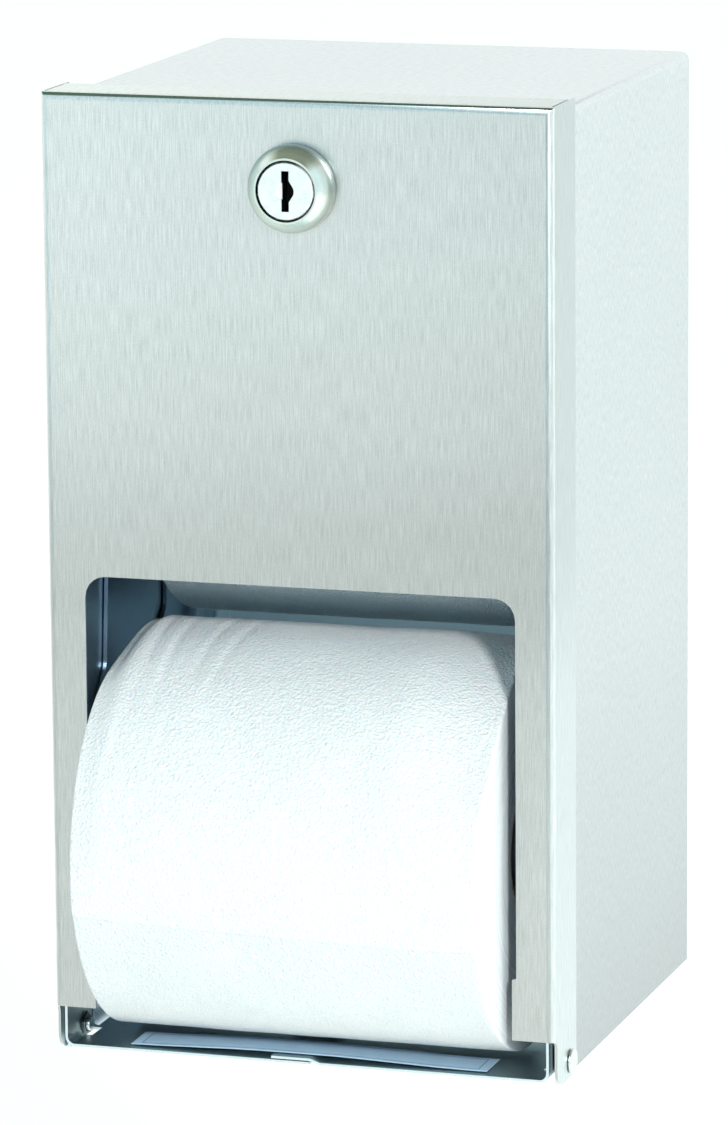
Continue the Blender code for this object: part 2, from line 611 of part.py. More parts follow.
def make_brackets(frame):
    plain_end = [(-LAP_START, BRACKET_BOTTOM), (-LAP_START, BRACKET_FLOOR_TOP)]
    start = LAP_START + FIT_GAP
    far = start + JOGGLE_LENGTH
    tip = start - LAP_LENGTH
    rise = LAP_BOTTOM - BRACKET_BOTTOM
    joggled_end = [
        (far, BRACKET_BOTTOM), (start, BRACKET_BOTTOM + rise), (tip, LAP_BOTTOM),
        (tip, LAP_TOP), (start, LAP_TOP), (far, BRACKET_FLOOR_TOP),
    ]
    for side, word, ending in ((-1, "left", plain_end), (1, "right", joggled_end)):
        section = bracket_outline(side, ending)
        bracket = part(
            "bottom_bracket_" + word, front_extruded(section, BRACKET_FRONT, BRACKET_FLOOR_REAR), frame,
            ("steel_inner", STEEL_INNER),
        )
        # The floor runs on behind the ear, inside the bend, under the paper roll.
        near, far_x = sorted((side * (WALL_HALF - BRACKET_BEND_RADIUS), side * (WALL_HALF + CUT_OVERRUN)))
        behind_ear = box(
            (near, FRONT_Y + BRACKET_EAR_REAR, BRACKET_BOTTOM - CUT_OVERRUN),
            (far_x, FRONT_Y + BRACKET_FLOOR_REAR + CUT_OVERRUN, BRACKET_EAR_TOP + CUT_OVERRUN),
        )
        combine(bracket, cutter("cut_behind_ear_" + word, behind_ear, frame))
        for place, facing, tag in ((BRACKET_FRONT, 1, "front"), (BRACKET_EAR_REAR, -1, "rear")):
            corner = ear_corner(place, facing)
            chip = side_extruded(corner, side, EAR_INNER - CUT_OVERRUN, WALL_HALF + CUT_OVERRUN)
            combine(bracket, cutter("cut_ear_%s_%s" % (tag, word), chip, frame))
        # The bend is notched away at the pivot, where a flat tab carries the ear straight down.
        notch_half = PUSH_NUT_RADIUS + RELIEF_CLEARANCE
        below = BRACKET_BOTTOM - CUT_OVERRUN
        notch = side_extruded(
            [(PIVOT_Y - notch_half, below), (PIVOT_Y + notch_half, below),
             (PIVOT_Y + notch_half, TAB_TOP), (PIVOT_Y - notch_half, TAB_TOP)],
            side, EAR_INNER - RELIEF_RUN, EAR_INNER,
        )
        combine(bracket, cutter("cut_bend_relief_" + word, notch, frame))
        tab = side_extruded(
            rounded([
                (PIVOT_Y - notch_half, BRACKET_BOTTOM, SHEET), (PIVOT_Y + notch_half, BRACKET_BOTTOM, SHEET),
                (PIVOT_Y + notch_half, TAB_TOP, 0), (PIVOT_Y - notch_half, TAB_TOP, 0),
            ]),
            side, EAR_INNER, WALL_HALF,
        )
        combine(bracket, cutter("pivot_tab_" + word, tab, frame), "UNION")
        hole = turned_pin(PIVOT_SHANK_RADIUS + HOLE_GAP, side, EAR_INNER - CUT_OVERRUN, WALL_HALF + CUT_OVERRUN)
        combine(bracket, cutter("cut_bracket_pivot_" + word, hole, frame))


def ear_corner(edge, facing):
    """The scrap outside an ear's rounded top corner. Facing is 1 where the ear lies behind the edge."""
    radius = BRACKET_EAR_RADIUS
    centre = (edge + facing * radius, BRACKET_EAR_TOP - radius)
    start, end = (math.pi, math.pi / 2) if facing > 0 else (0, math.pi / 2)
    curve = arc(centre, radius, start, end, CORNER_STEPS)
    outside = edge - facing * CUT_OVERRUN
    above = BRACKET_EAR_TOP + CUT_OVERRUN
    return curve + [(centre[0], above), (outside, above), (outside, centre[1])]


def make_sticker(frame):
    """A plain strip on the brackets. It bridges the lap, as a stiff sticker does."""
    low = BRACKET_FLOOR_TOP + FIT_GAP
    lift = LAP_TOP - BRACKET_FLOOR_TOP
    middle = -LAP_LENGTH / 2 + LAP_START
    flat = LAP_LENGTH / 2 + SHEET
    half = STICKER_HALF
    under = []
    for i in range(STICKER_STEPS + 1):
        x = half * (2 * i / STICKER_STEPS - 1)
        away = max(0.0, abs(x - middle) - flat) / (half - flat)
        under.append((x, low + lift * max(0.0, math.cos(math.pi * min(1.0, away)) + 1) / 2))
    under = [(middle - flat, low + lift) if abs(x - middle + flat) < SHEET else (x, z) for x, z in under]
    over = [(x, z + STICKER_THICKNESS) for x, z in reversed(under)]
    strip = front_extruded(under + over, STICKER_FRONT, STICKER_REAR)
    part("tray_sticker", strip, frame, ("sticker", STICKER))


# Track plates

def slot_legs():
    """The spindle's path as straight legs, from the front mouth down to the pressed position."""
    top = (UPPER_AXIS_Y, UPPER_AXIS_Z + SLOT_ENTRY_RISE)
    knee = (UPPER_AXIS_Y, SLOT_KNEE_Z)
    seat = (LOWER_AXIS_Y, LOWER_AXIS_Z)
    pressed = (LOWER_AXIS_Y, LOWER_AXIS_Z - SPINDLE_PRESS_TRAVEL)
    mouth = (TRACK_NOSE_FRONT, SLOT_MOUTH_Z)
    return [("entry", mouth, top), ("fall", top, knee), ("slide", knee, seat), ("press", seat, pressed)]


def track_outline():
    corner = TRACK_CORNER_RADIUS
    return rounded([
        (TRACK_FOOT_FRONT, TRACK_BOTTOM, corner / 4),
        (TRACK_HEEL_Y, TRACK_BOTTOM, corner),
        (TRACK_HEEL_Y, TRACK_HEEL_Z - corner, corner),
        (TRACK_REAR, TRACK_HEEL_Z + corner, corner),
        (TRACK_REAR, TRACK_TOP, corner),
        (TRACK_TOP_FRONT, TRACK_TOP, corner),
        (TRACK_BROW_Y, TRACK_BROW_Z, corner * 4),
        (TRACK_WAIST_Y, TRACK_WAIST_Z, corner),
        (TRACK_NOSE_FRONT, TRACK_NOSE_TOP, corner),
        (TRACK_NOSE_FRONT, TRACK_NOSE_BOTTOM, corner / 4),
        (TRACK_FOOT_FRONT, TRACK_FOOT_TOP, corner / 4),
    ])


def make_tracks(frame):
    for side, word in ((-1, "left"), (1, "right")):
        plate = side_extruded(track_outline(), side, TRACK_INNER, WALL_HALF)
        track = part("track_plate_" + word, plate, frame, ("steel_inner", STEEL_INNER))
        inner = TRACK_INNER - CUT_OVERRUN
        outer = WALL_HALF + CUT_OVERRUN
        for tag, start, end in slot_legs():
            leg = side_extruded(stadium(start, end, SLOT_RADIUS), side, inner, outer)
            combine(track, cutter("cut_track_%s_%s" % (tag, word), leg, frame))
        for tag, centre in (("lever", LEVER_PIVOT), ("latch", LATCH_PIVOT)):
            hole = side_extruded(circle(centre, RIVET_SHANK_RADIUS + HOLE_GAP), side, inner, outer)
            combine(track, cutter("cut_track_%s_hole_%s" % (tag, word), hole, frame))


# Release mechanism

def lever_outline():
    """The rocker that carries the lower spindle: tip under the journal, hub, and tail to the link."""
    hub = LEVER_ARM_WIDTH * ROCKER_HUB_SHARE
    half = LEVER_ARM_WIDTH / 2
    seat_z = LOWER_AXIS_Z - JOURNAL_RADIUS - FIT_GAP
    tip_y = LOWER_AXIS_Y - LEVER_TIP_FORWARD
    tail = LEVER_STUD
    return rounded([
        (tip_y, seat_z, half / 2),
        (LOWER_AXIS_Y + LEVER_TIP_FORWARD, seat_z, half),
        (LEVER_PIVOT[0], LEVER_PIVOT[1] + hub, hub),
        (tail[0] + half, tail[1] + half, half),
        (tail[0] + half, tail[1] - half, half),
        (LEVER_PIVOT[0], LEVER_PIVOT[1] - hub, hub),
        (tip_y + half, seat_z - LEVER_ARM_WIDTH, half),
        (tip_y, seat_z - half, half / 2),
    ])


def latch_outline():
    """The finger that holds the reserve spindle up, its hub, and the tail to the link."""
    half = LATCH_ARM_WIDTH / 2
    hub = LATCH_ARM_WIDTH * ROCKER_HUB_SHARE
    seat_z = UPPER_AXIS_Z - JOURNAL_RADIUS - FIT_GAP
    tip_y = UPPER_AXIS_Y - LATCH_FINGER_OVERLAP
    return rounded([
        (tip_y, seat_z, half / 2),
        (LATCH_PIVOT[0], seat_z + half / 4, hub),
        (LATCH_STUD[0] + half, LATCH_STUD[1] + half, half),
        (LATCH_STUD[0] + half, LATCH_STUD[1] - half, half),
        (LATCH_STUD[0] - half, LATCH_STUD[1] - half, half),
        (LATCH_PIVOT[0] - half, LATCH_PIVOT[1] - hub, hub),
        (tip_y, seat_z - half, half / 2),
    ])


def make_rocker(name, outline, pivot, stud, side, axis):
    """A flat lever with a pivot hole and a stud that stands into the link's slot."""
    lever = part(
        name, side_extruded(outline, side, LEVER_INNER, LEVER_OUTER), axis, ("steel_mechanism", STEEL_MECHANISM)
    )
    hole = side_extruded(
        circle(pivot, RIVET_SHANK_RADIUS + HOLE_GAP), side, LEVER_INNER - CUT_OVERRUN, LEVER_OUTER + CUT_OVERRUN
    )
    combine(lever, cutter("cut_hole_" + name, hole, axis))
    middle = (LEVER_INNER + LEVER_OUTER) / 2
    pin = cutter("stud_" + name, side_extruded(circle(stud, STUD_RADIUS), side, LINK_INNER - SHEET, middle), axis)
    combine(lever, pin, "UNION")


def make_link(side, word, axis):
    """The bar between lever and latch. Its level slot takes up what the two studs' arcs differ by."""
    outline = stadium(LEVER_STUD, LATCH_STUD, LINK_WIDTH / 2)
    link = part(
        "release_link_" + word, side_extruded(outline, side, LINK_INNER, LINK_OUTER), axis,
        ("steel_mechanism", STEEL_MECHANISM),
    )
    slot_end = (LATCH_STUD[0] + LINK_SLOT_EXTRA, LATCH_STUD[1])
    openings = {
        "lever": circle(LEVER_STUD, STUD_RADIUS + HOLE_GAP),
        "latch": stadium(LATCH_STUD, slot_end, STUD_RADIUS + HOLE_GAP),
    }
    for tag, shape in openings.items():
        hole = side_extruded(shape, side, LINK_INNER - CUT_OVERRUN, LINK_OUTER + CUT_OVERRUN)
        combine(link, cutter("cut_link_%s_%s" % (tag, word), hole, axis))


def make_pivot_rivet(name, centre, side, frame):
    head = LEVER_INNER - FIT_GAP
    face = head - RIVET_HEAD_THICKNESS
    edge = RIVET_HEAD_THICKNESS / 4
    profile = [
        (face, 0), (face, RIVET_HEAD_RADIUS - edge), (face + edge, RIVET_HEAD_RADIUS), (head, RIVET_HEAD_RADIUS),
        (head, RIVET_SHANK_RADIUS), (WALL_HALF, RIVET_SHANK_RADIUS), (WALL_HALF, 0),
    ]
    placed = [(side * along, radius) for along, radius in profile]
    part(name, turned(placed, yz(centre), "X"), frame, ("steel_mechanism", STEEL_MECHANISM))


def make_release(frame):
    for side, word in ((-1, "left"), (1, "right")):
        lever_axis = axis_empty("lever_axis_" + word, yz(LEVER_PIVOT), frame)
        latch_axis = axis_empty("latch_axis_" + word, yz(LATCH_PIVOT), frame)
        link_axis = axis_empty("link_axis_" + word, yz(LEVER_STUD), frame)
        make_rocker("release_lever_" + word, lever_outline(), LEVER_PIVOT, LEVER_STUD, side, lever_axis)
        make_rocker("reserve_latch_" + word, latch_outline(), LATCH_PIVOT, LATCH_STUD, side, latch_axis)
        make_link(side, word, link_axis)
        make_pivot_rivet("lever_rivet_" + word, LEVER_PIVOT, side, frame)
        make_pivot_rivet("latch_rivet_" + word, LATCH_PIVOT, side, frame)


# Lock

def lock_ring(profile, axis_place):
    """Turn (depth behind the door face, radius) points about the lock's axis."""
    placed = [(FRONT_Y + depth, radius) for depth, radius in profile]
    return turned(placed, (axis_place[0], 0, axis_place[2]), "Y", LOCK_STEPS)


def make_lock(door_axis):
    place = (0, FRONT_Y, LOCK_Z)
    axis = axis_empty("lock_axis", place, door_axis)
    bore = LOCK_PLUG_RADIUS + FIT_GAP
    small_bore = LOCK_SHANK_RADIUS + FIT_GAP
    shoulder = -LOCK_BEZEL_HEIGHT + LOCK_PLUG_HEAD_DEPTH + FIT_GAP
    crown = LOCK_BEZEL_RADIUS - LOCK_FACE_RADIUS
    rise = LOCK_BEZEL_HEIGHT - LOCK_BEZEL_RIM - LOCK_EDGE - FIT_GAP
    dome = []
    for i in range(LOCK_DOME_STEPS + 1):
        t = i / LOCK_DOME_STEPS
        swell = SHEET * math.sin(math.pi * t)
        dome.append((-FIT_GAP - LOCK_BEZEL_RIM - rise * t, LOCK_BEZEL_RADIUS - crown * t + swell))
    profile = [(-FIT_GAP, LOCK_BARREL_RADIUS), (-FIT_GAP, LOCK_BEZEL_RADIUS)] + dome
    profile += [
        (-LOCK_BEZEL_HEIGHT, LOCK_FACE_RADIUS - LOCK_EDGE), (-LOCK_BEZEL_HEIGHT, bore), (shoulder, bore),
        (shoulder, small_bore), (LOCK_BARREL_REAR, small_bore), (LOCK_BARREL_REAR, LOCK_BARREL_RADIUS),
    ]
    part("lock_body", lock_ring(profile, place), door_axis, ("chrome", CHROME))

    plug_face = -LOCK_BEZEL_HEIGHT
    head_rear = plug_face + LOCK_PLUG_HEAD_DEPTH
    plug_profile = [
        (plug_face, 0), (plug_face, LOCK_PLUG_RADIUS - LOCK_EDGE), (plug_face + LOCK_EDGE, LOCK_PLUG_RADIUS),
        (head_rear, LOCK_PLUG_RADIUS), (head_rear, LOCK_SHANK_RADIUS),
        (LOCK_BARREL_REAR, LOCK_SHANK_RADIUS), (LOCK_BARREL_REAR, 0),
    ]
    plug = part("lock_plug", lock_ring(plug_profile, place), axis, ("plug_metal", BRASS_PLUG))
    half_width = KEYWAY_WIDTH / 2
    half_length = KEYWAY_LENGTH / 2
    bulge = half_width + KEYWAY_BULGE
    slot = [
        (-half_width, LOCK_Z - half_length), (half_width, LOCK_Z - half_length),
        (half_width, LOCK_Z - KEYWAY_BULGE_HALF), (bulge, LOCK_Z - KEYWAY_BULGE_TIP_HALF),
        (bulge, LOCK_Z + KEYWAY_BULGE_TIP_HALF), (half_width, LOCK_Z + KEYWAY_BULGE_HALF),
        (half_width, LOCK_Z + half_length), (-half_width, LOCK_Z + half_length),
    ]
    key = front_extruded(slot, plug_face - CUT_OVERRUN, plug_face + KEYWAY_DEPTH)
    combine(plug, cutter("cut_keyway", key, axis))
    dimple = front_extruded(
        circle((0, LOCK_Z), KEYWAY_DIMPLE_RADIUS), plug_face - CUT_OVERRUN, plug_face + KEYWAY_DIMPLE_DEPTH
    )
    combine(plug, cutter("cut_key_dimple", dimple, axis))
    cam_front = LOCK_BARREL_REAR + FIT_GAP
    cam_rear = cam_front + CAM_THICKNESS
    tail = front_extruded(square(CAM_TAIL_HALF), head_rear, cam_rear)
    combine(plug, cutter("plug_tail", tail, axis), "UNION")

    cam_shape = stadium((0, LOCK_Z), (CAM_REACH - CAM_TIP_RADIUS, LOCK_Z), CAM_TIP_RADIUS)
    cam = part("lock_cam", front_extruded(cam_shape, cam_front, cam_rear), axis, ("steel_mechanism", STEEL_MECHANISM))
    hub = front_extruded(circle((0, LOCK_Z), CAM_HUB_RADIUS), cam_front, cam_rear)
    combine(cam, cutter("cam_hub", hub, axis), "UNION")
    eye = front_extruded(square(CAM_TAIL_HALF + FIT_GAP), cam_front - CUT_OVERRUN, cam_rear + CUT_OVERRUN)
    combine(cam, cutter("cut_cam_eye", eye, axis))

    screw_front = cam_rear + FIT_GAP
    screw_rear = screw_front + CAM_SCREW_THICKNESS
    screw_profile = [
        (screw_front, 0), (screw_front, CAM_SCREW_RADIUS), (screw_rear - LOCK_EDGE, CAM_SCREW_RADIUS),
        (screw_rear, CAM_SCREW_RADIUS - LOCK_EDGE), (screw_rear, 0),
    ]
    screw = part("cam_screw", lock_ring(screw_profile, place), axis, ("steel_mechanism", STEEL_MECHANISM))
    groove = box(
        (-CAM_SCREW_RADIUS - CUT_OVERRUN, FRONT_Y + screw_rear - CAM_SCREW_SLOT, LOCK_Z - CAM_SCREW_SLOT / 2),
        (CAM_SCREW_RADIUS + CUT_OVERRUN, FRONT_Y + screw_rear + CUT_OVERRUN, LOCK_Z + CAM_SCREW_SLOT / 2),
    )
    combine(screw, cutter("cut_screw_slot", groove, axis))

    nut_front = SHEET + FIT_GAP
    hexagon = circle((0, LOCK_Z), LOCK_NUT_RADIUS, 6)
    nut = part(
        "lock_nut", front_extruded(hexagon, nut_front, nut_front + LOCK_NUT_THICKNESS), door_axis,
        ("steel_mechanism", STEEL_MECHANISM),
    )
    bore_cut = front_extruded(
        circle((0, LOCK_Z), LOCK_BARREL_RADIUS + FIT_GAP), nut_front - CUT_OVERRUN,
        nut_front + LOCK_NUT_THICKNESS + CUT_OVERRUN,
    )
    combine(nut, cutter("cut_nut_bore", bore_cut, door_axis))


def square(half):
    return [(-half, LOCK_Z - half), (half, LOCK_Z - half), (half, LOCK_Z + half), (-half, LOCK_Z + half)]


# Spindles, cores and paper

def mirrored_profile(right):
    return [(-along, radius) for along, radius in reversed(right)] + right


def make_axle(name, centre, axis):
    """The steel rod through a spindle. Its ends are the journals that run in the tracks."""
    edge = SPINDLE_EDGE
    end = [(WALL_HALF - edge, JOURNAL_RADIUS), (WALL_HALF, JOURNAL_RADIUS - edge), (WALL_HALF, 0)]
    part(name, turned(mirrored_profile(end), yz(centre), "X"), axis, ("steel_mechanism", STEEL_MECHANISM))


def make_spindle(name, centre, axis):
    """A moulded barrel with ribs that fill the paper's core."""
    half = SPINDLE_BARREL_LENGTH / 2
    shoulder = half + SPINDLE_SHOULDER_LENGTH
    end = [
        (half, SPINDLE_BARREL_RADIUS), (half + SPINDLE_EDGE, SPINDLE_SHOULDER_RADIUS),
        (shoulder, SPINDLE_SHOULDER_RADIUS), (shoulder, 0),
    ]
    barrel = turned(mirrored_profile(end), yz(centre), "X")
    spindle = part(name, barrel, axis, ("spindle_plastic", PLASTIC))

    rib_reach = CORE_RADIUS - CORE_WALL - FIT_GAP
    rib_end = ROLL_WIDTH / 2 - SPINDLE_RIB_INSET
    for i in range(SPINDLE_RIB_COUNT // 2):
        turn = math.pi * i / (SPINDLE_RIB_COUNT // 2)
        along = Vector((math.cos(turn), math.sin(turn)))
        across = Vector((-along.y, along.x)) * SPINDLE_RIB_THICKNESS / 2
        middle = Vector(centre)
        corners = [
            middle + along * rib_reach - across, middle + along * rib_reach + across,
            middle - along * rib_reach + across, middle - along * rib_reach - across,
        ]
        rib = side_extruded([tuple(c) for c in corners], 1, -rib_end, rib_end)
        combine(spindle, cutter("rib_%s_%d" % (name, i), rib, axis), "UNION")
    reach = shoulder + CUT_OVERRUN
    bore = turned_rod(JOURNAL_RADIUS + FIT_GAP, -reach, reach, centre)
    combine(spindle, cutter("cut_bore_" + name, bore, axis))


def make_tube(name, centre, inner, outer, width, edge, axis, look, steps):
    half = width / 2
    profile = [
        (-half, inner), (-half, outer - edge), (-half + edge, outer),
        (half - edge, outer), (half, outer - edge), (half, inner),
    ]
    part(name, turned(profile, yz(centre), "X", steps), axis, look)


def make_roll(level, centre, frame):
    axis = axis_empty(level + "_roll_axis", yz(centre), frame)
    make_axle(level + "_axle", centre, axis)
    make_spindle(level + "_spindle", centre, axis)
    make_tube(
        level + "_core", centre, CORE_RADIUS - CORE_WALL, CORE_RADIUS, ROLL_WIDTH, CORE_WALL / 4, axis,
        ("cardboard", CARDBOARD), ROLL_STEPS // 2,
    )
    make_tube(
        level + "_roll", centre, CORE_RADIUS + FIT_GAP, ROLL_RADIUS, ROLL_WIDTH, ROLL_EDGE, axis,
        ("paper", PAPER), ROLL_STEPS,
    )


def main():
    clear_scene()
    frame = axis_empty("frame", (0, 0, 0))
    frame.location = (0, 0, -MOUNT_HEIGHT)
    make_cabinet(frame)
    make_back(frame)
    make_brackets(frame)
    make_sticker(frame)
    make_tracks(frame)
    make_pivots(frame)
    door_axis = axis_empty("door_axis", yz((PIVOT_Y, PIVOT_Z)), frame)
    make_door(door_axis)
    make_lock(door_axis)
    make_release(frame)
    make_roll("lower", (LOWER_AXIS_Y, LOWER_AXIS_Z), frame)
    make_roll("upper", (UPPER_AXIS_Y, UPPER_AXIS_Z), frame)


main()
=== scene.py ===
import json
import math
import bmesh
import bpy
import numpy as np
from mathutils import Matrix, Vector, noise


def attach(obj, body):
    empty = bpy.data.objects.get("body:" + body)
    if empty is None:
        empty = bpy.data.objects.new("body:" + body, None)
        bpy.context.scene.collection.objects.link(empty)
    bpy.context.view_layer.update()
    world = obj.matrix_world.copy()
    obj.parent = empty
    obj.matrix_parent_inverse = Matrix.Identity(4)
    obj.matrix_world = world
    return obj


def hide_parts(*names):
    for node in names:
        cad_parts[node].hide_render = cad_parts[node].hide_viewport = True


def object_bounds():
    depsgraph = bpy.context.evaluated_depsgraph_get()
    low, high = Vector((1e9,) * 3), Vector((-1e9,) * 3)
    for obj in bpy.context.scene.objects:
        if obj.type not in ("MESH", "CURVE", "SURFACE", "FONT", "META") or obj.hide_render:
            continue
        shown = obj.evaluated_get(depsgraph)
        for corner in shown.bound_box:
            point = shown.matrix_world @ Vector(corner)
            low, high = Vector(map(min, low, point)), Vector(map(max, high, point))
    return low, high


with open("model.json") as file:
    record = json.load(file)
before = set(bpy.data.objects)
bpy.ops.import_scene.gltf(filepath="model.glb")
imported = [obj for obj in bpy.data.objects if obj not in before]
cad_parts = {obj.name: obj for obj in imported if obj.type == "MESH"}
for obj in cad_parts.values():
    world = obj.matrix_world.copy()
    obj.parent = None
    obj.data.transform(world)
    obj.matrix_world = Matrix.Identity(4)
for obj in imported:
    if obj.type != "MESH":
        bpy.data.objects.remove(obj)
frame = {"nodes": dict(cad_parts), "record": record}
cadLow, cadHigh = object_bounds()
scene = bpy.context.scene
print("frame loaded,", len(frame["nodes"]), "nodes")


# places shared by several pieces, in metres
place = {
    "lowerRollY": -0.1250,
    "lowerRollZ": -0.0765,
    "upperRollY": -0.0660,
    "upperRollZ": 0.0415805,
    "lockZ": 0.1197,
    "frontY": -0.1560,
}
ahead, sideways = (0, 1, 0), (1, 0, 0)
black, white = (0, 0, 0), (1, 1, 1)


# node helpers for the materials

def newMaterial(name, colour, roughness, metallic=0.0):
    made = bpy.data.materials.new(name)
    made.use_nodes = True
    shader = made.node_tree.nodes["Principled BSDF"]
    shader.inputs["Base Color"].default_value = (*colour, 1)
    shader.inputs["Roughness"].default_value = roughness
    shader.inputs["Metallic"].default_value = metallic
    made.diffuse_color = (*colour, 1)
    return made, made.node_tree.nodes, made.node_tree.links, shader


# object coordinates, stretched and then shifted
def objectSpot(nodes, links, stretch=(1, 1, 1), shift=(0, 0, 0)):
    coords = nodes.new("ShaderNodeTexCoord")
    mapping = nodes.new("ShaderNodeMapping")
    mapping.inputs["Scale"].default_value = stretch
    mapping.inputs["Location"].default_value = shift
    links.new(coords.outputs["Object"], mapping.inputs["Vector"])
    return mapping.outputs["Vector"]


# soft noise with stretch features to the metre
def noiseOn(nodes, links, stretch, detail=3.0, rough=0.55):
    grain = nodes.new("ShaderNodeTexNoise")
    grain.inputs["Scale"].default_value = 1.0
    grain.inputs["Detail"].default_value = detail
    grain.inputs["Roughness"].default_value = rough
    links.new(objectSpot(nodes, links, stretch), grain.inputs["Vector"])
    return grain.outputs["Fac"]


# a colour ramp from a list of (position, colour)
def ramp(nodes, links, source, stops):
    made = nodes.new("ShaderNodeValToRGB")
    while len(made.color_ramp.elements) < len(stops):
        made.color_ramp.elements.new(0.5)
    for element, (position, colour) in zip(made.color_ramp.elements, stops):
        element.position = position
        element.color = (*colour, 1)
    links.new(source, made.inputs["Fac"])
    return made.outputs["Color"]


# a value from lowAt to highAt, spread from low to high
def spread(nodes, links, source, low, high, lowAt=0.3, highAt=0.7):
    made = nodes.new("ShaderNodeMapRange")
    made.inputs["From Min"].default_value = lowAt
    made.inputs["From Max"].default_value = highAt
    made.inputs["To Min"].default_value = low
    made.inputs["To Max"].default_value = high
    links.new(source, made.inputs["Value"])
    return made.outputs["Result"]


def sums(nodes, links, operation, first, second=None):
    made = nodes.new("ShaderNodeMath")
    made.operation = operation
    for socket, value in zip(made.inputs, (first, second)):
        if isinstance(value, (int, float)):
            socket.default_value = value
        elif value is not None:
            links.new(value, socket)
    return made.outputs["Value"]


def blendFloat(nodes, links, share, first, second):
    made = nodes.new("ShaderNodeMix")
    made.data_type = "FLOAT"
    links.new(share, made.inputs["Factor"])
    links.new(first, made.inputs["A"])
    links.new(second, made.inputs["B"])
    return made.outputs["Result"]


# mixes two colours, where share, first and second are links or plain values
def tint(nodes, links, share, first, second, blend="MULTIPLY"):
    made = nodes.new("ShaderNodeMix")
    made.data_type = "RGBA"
    made.blend_type = blend
    if isinstance(share, (int, float)):
        made.inputs["Factor"].default_value = share
    else:
        links.new(share, made.inputs["Factor"])
    for key, value in (("A", first), ("B", second)):
        socket = next(s for s in made.inputs if s.name == key and s.type == "RGBA")
        if isinstance(value, tuple):
            socket.default_value = (*value, 1)
        else:
            links.new(value, socket)
    return next(s for s in made.outputs if s.type == "RGBA")


def bumpFrom(nodes, links, height, shader, strength, distance):
    bump = nodes.new("ShaderNodeBump")
    bump.inputs["Strength"].default_value = strength
    bump.inputs["Distance"].default_value = distance
    links.new(height, bump.inputs["Height"])
    links.new(bump.outputs["Normal"], shader.inputs["Normal"])


# steel

def brushedSteel(name, look):
    made, nodes, links, shader = newMaterial(name, look["light"], look["roughness"], look["metallic"])
    fine, long = look["grainFine"], look["grainLong"]
    upright = noiseOn(nodes, links, (fine, fine, long), 3.0, 0.55)
    lengthwise = (long, fine, fine) if look["topGrain"] == "X" else (fine, long, fine)
    flat = noiseOn(nodes, links, lengthwise, 3.0, 0.55)
    coords = nodes.new("ShaderNodeTexCoord")
    parts = nodes.new("ShaderNodeSeparateXYZ")
    links.new(coords.outputs["Normal"], parts.inputs["Vector"])
    level = sums(nodes, links, "ABSOLUTE", parts.outputs["Z"])
    lying = sums(nodes, links, "GREATER_THAN", level, look["levelFrom"])
    streaks = blendFloat(nodes, links, lying, upright, flat)
    speckle = noiseOn(nodes, links, (fine * look["speckleScale"],) * 3, 2.0, 0.5)
    mixed = sums(nodes, links, "ADD", sums(nodes, links, "MULTIPLY", streaks, 1 - look["speckle"]),
                 sums(nodes, links, "MULTIPLY", speckle, look["speckle"]))
    grain = spread(nodes, links, mixed, 0.0, 1.0, *look["grainSpan"])
    colour = ramp(nodes, links, grain, [(0.0, look["dark"]), (1.0, look["light"])])
    for axis, stops in look["facing"].items():   # painted highlights, reflections and shade on bends and flanges, by the way they face
        facingForPaintedLight = spread(nodes, links, parts.outputs[axis], 0.0, 1.0, -1.0, 1.0)
        rows = [((value + 1) / 2, shade) for value, shade in stops]
        colour = tint(nodes, links, 1.0, colour, ramp(nodes, links, facingForPaintedLight, rows))
    cloud = noiseOn(nodes, links, (look["cloud"],) * 3, 2.0, 0.5)
    shade = ramp(nodes, links, cloud, [(0.3, (look["cloudDark"],) * 3), (0.7, white)])
    colour = tint(nodes, links, 1.0, colour, shade)
    if look["paintedLightBands"]:   # painted light and shade, changing slowly from the bottom of the piece to its top
        spot = nodes.new("ShaderNodeSeparateXYZ")
        links.new(objectSpot(nodes, links), spot.inputs["Vector"])
        low, high = look["paintedLightBands"][0][0], look["paintedLightBands"][-1][0]
        stops = [((z - low) / (high - low), (value,) * 3) for z, value in look["paintedLightBands"]]
        along = spread(nodes, links, spot.outputs["Z"], 0.0, 1.0, low, high)
        faced = sums(nodes, links, "ABSOLUTE", parts.outputs[look["paintedBandsFace"]])
        broad = spread(nodes, links, faced, 0.0, 1.0, *look["paintedBandsSpan"])
        colour = tint(nodes, links, broad, colour, ramp(nodes, links, along, stops))
        # painted shade toward the right edge, growing across X and rising in Z
        across = spread(nodes, links, spot.outputs["X"], 1.0, look["rightPaintedShade"], *look["rightSpan"])
        above = spread(nodes, links, spot.outputs["Z"], 0.0, 1.0, *look["rightPaintedShadeRise"])
        rightward = ramp(nodes, links, across, [(0.0, black), (1.0, white)])
        colour = tint(nodes, links, above, colour, rightward)
    links.new(colour, shader.inputs["Base Color"])
    low, high = look["roughness"] - look["roughSpread"], look["roughness"] + look["roughSpread"]
    links.new(spread(nodes, links, grain, low, high, 0.0, 1.0), shader.inputs["Roughness"])
    bumpFrom(nodes, links, mixed, shader, look["bump"], look["bumpDepth"])
    return made
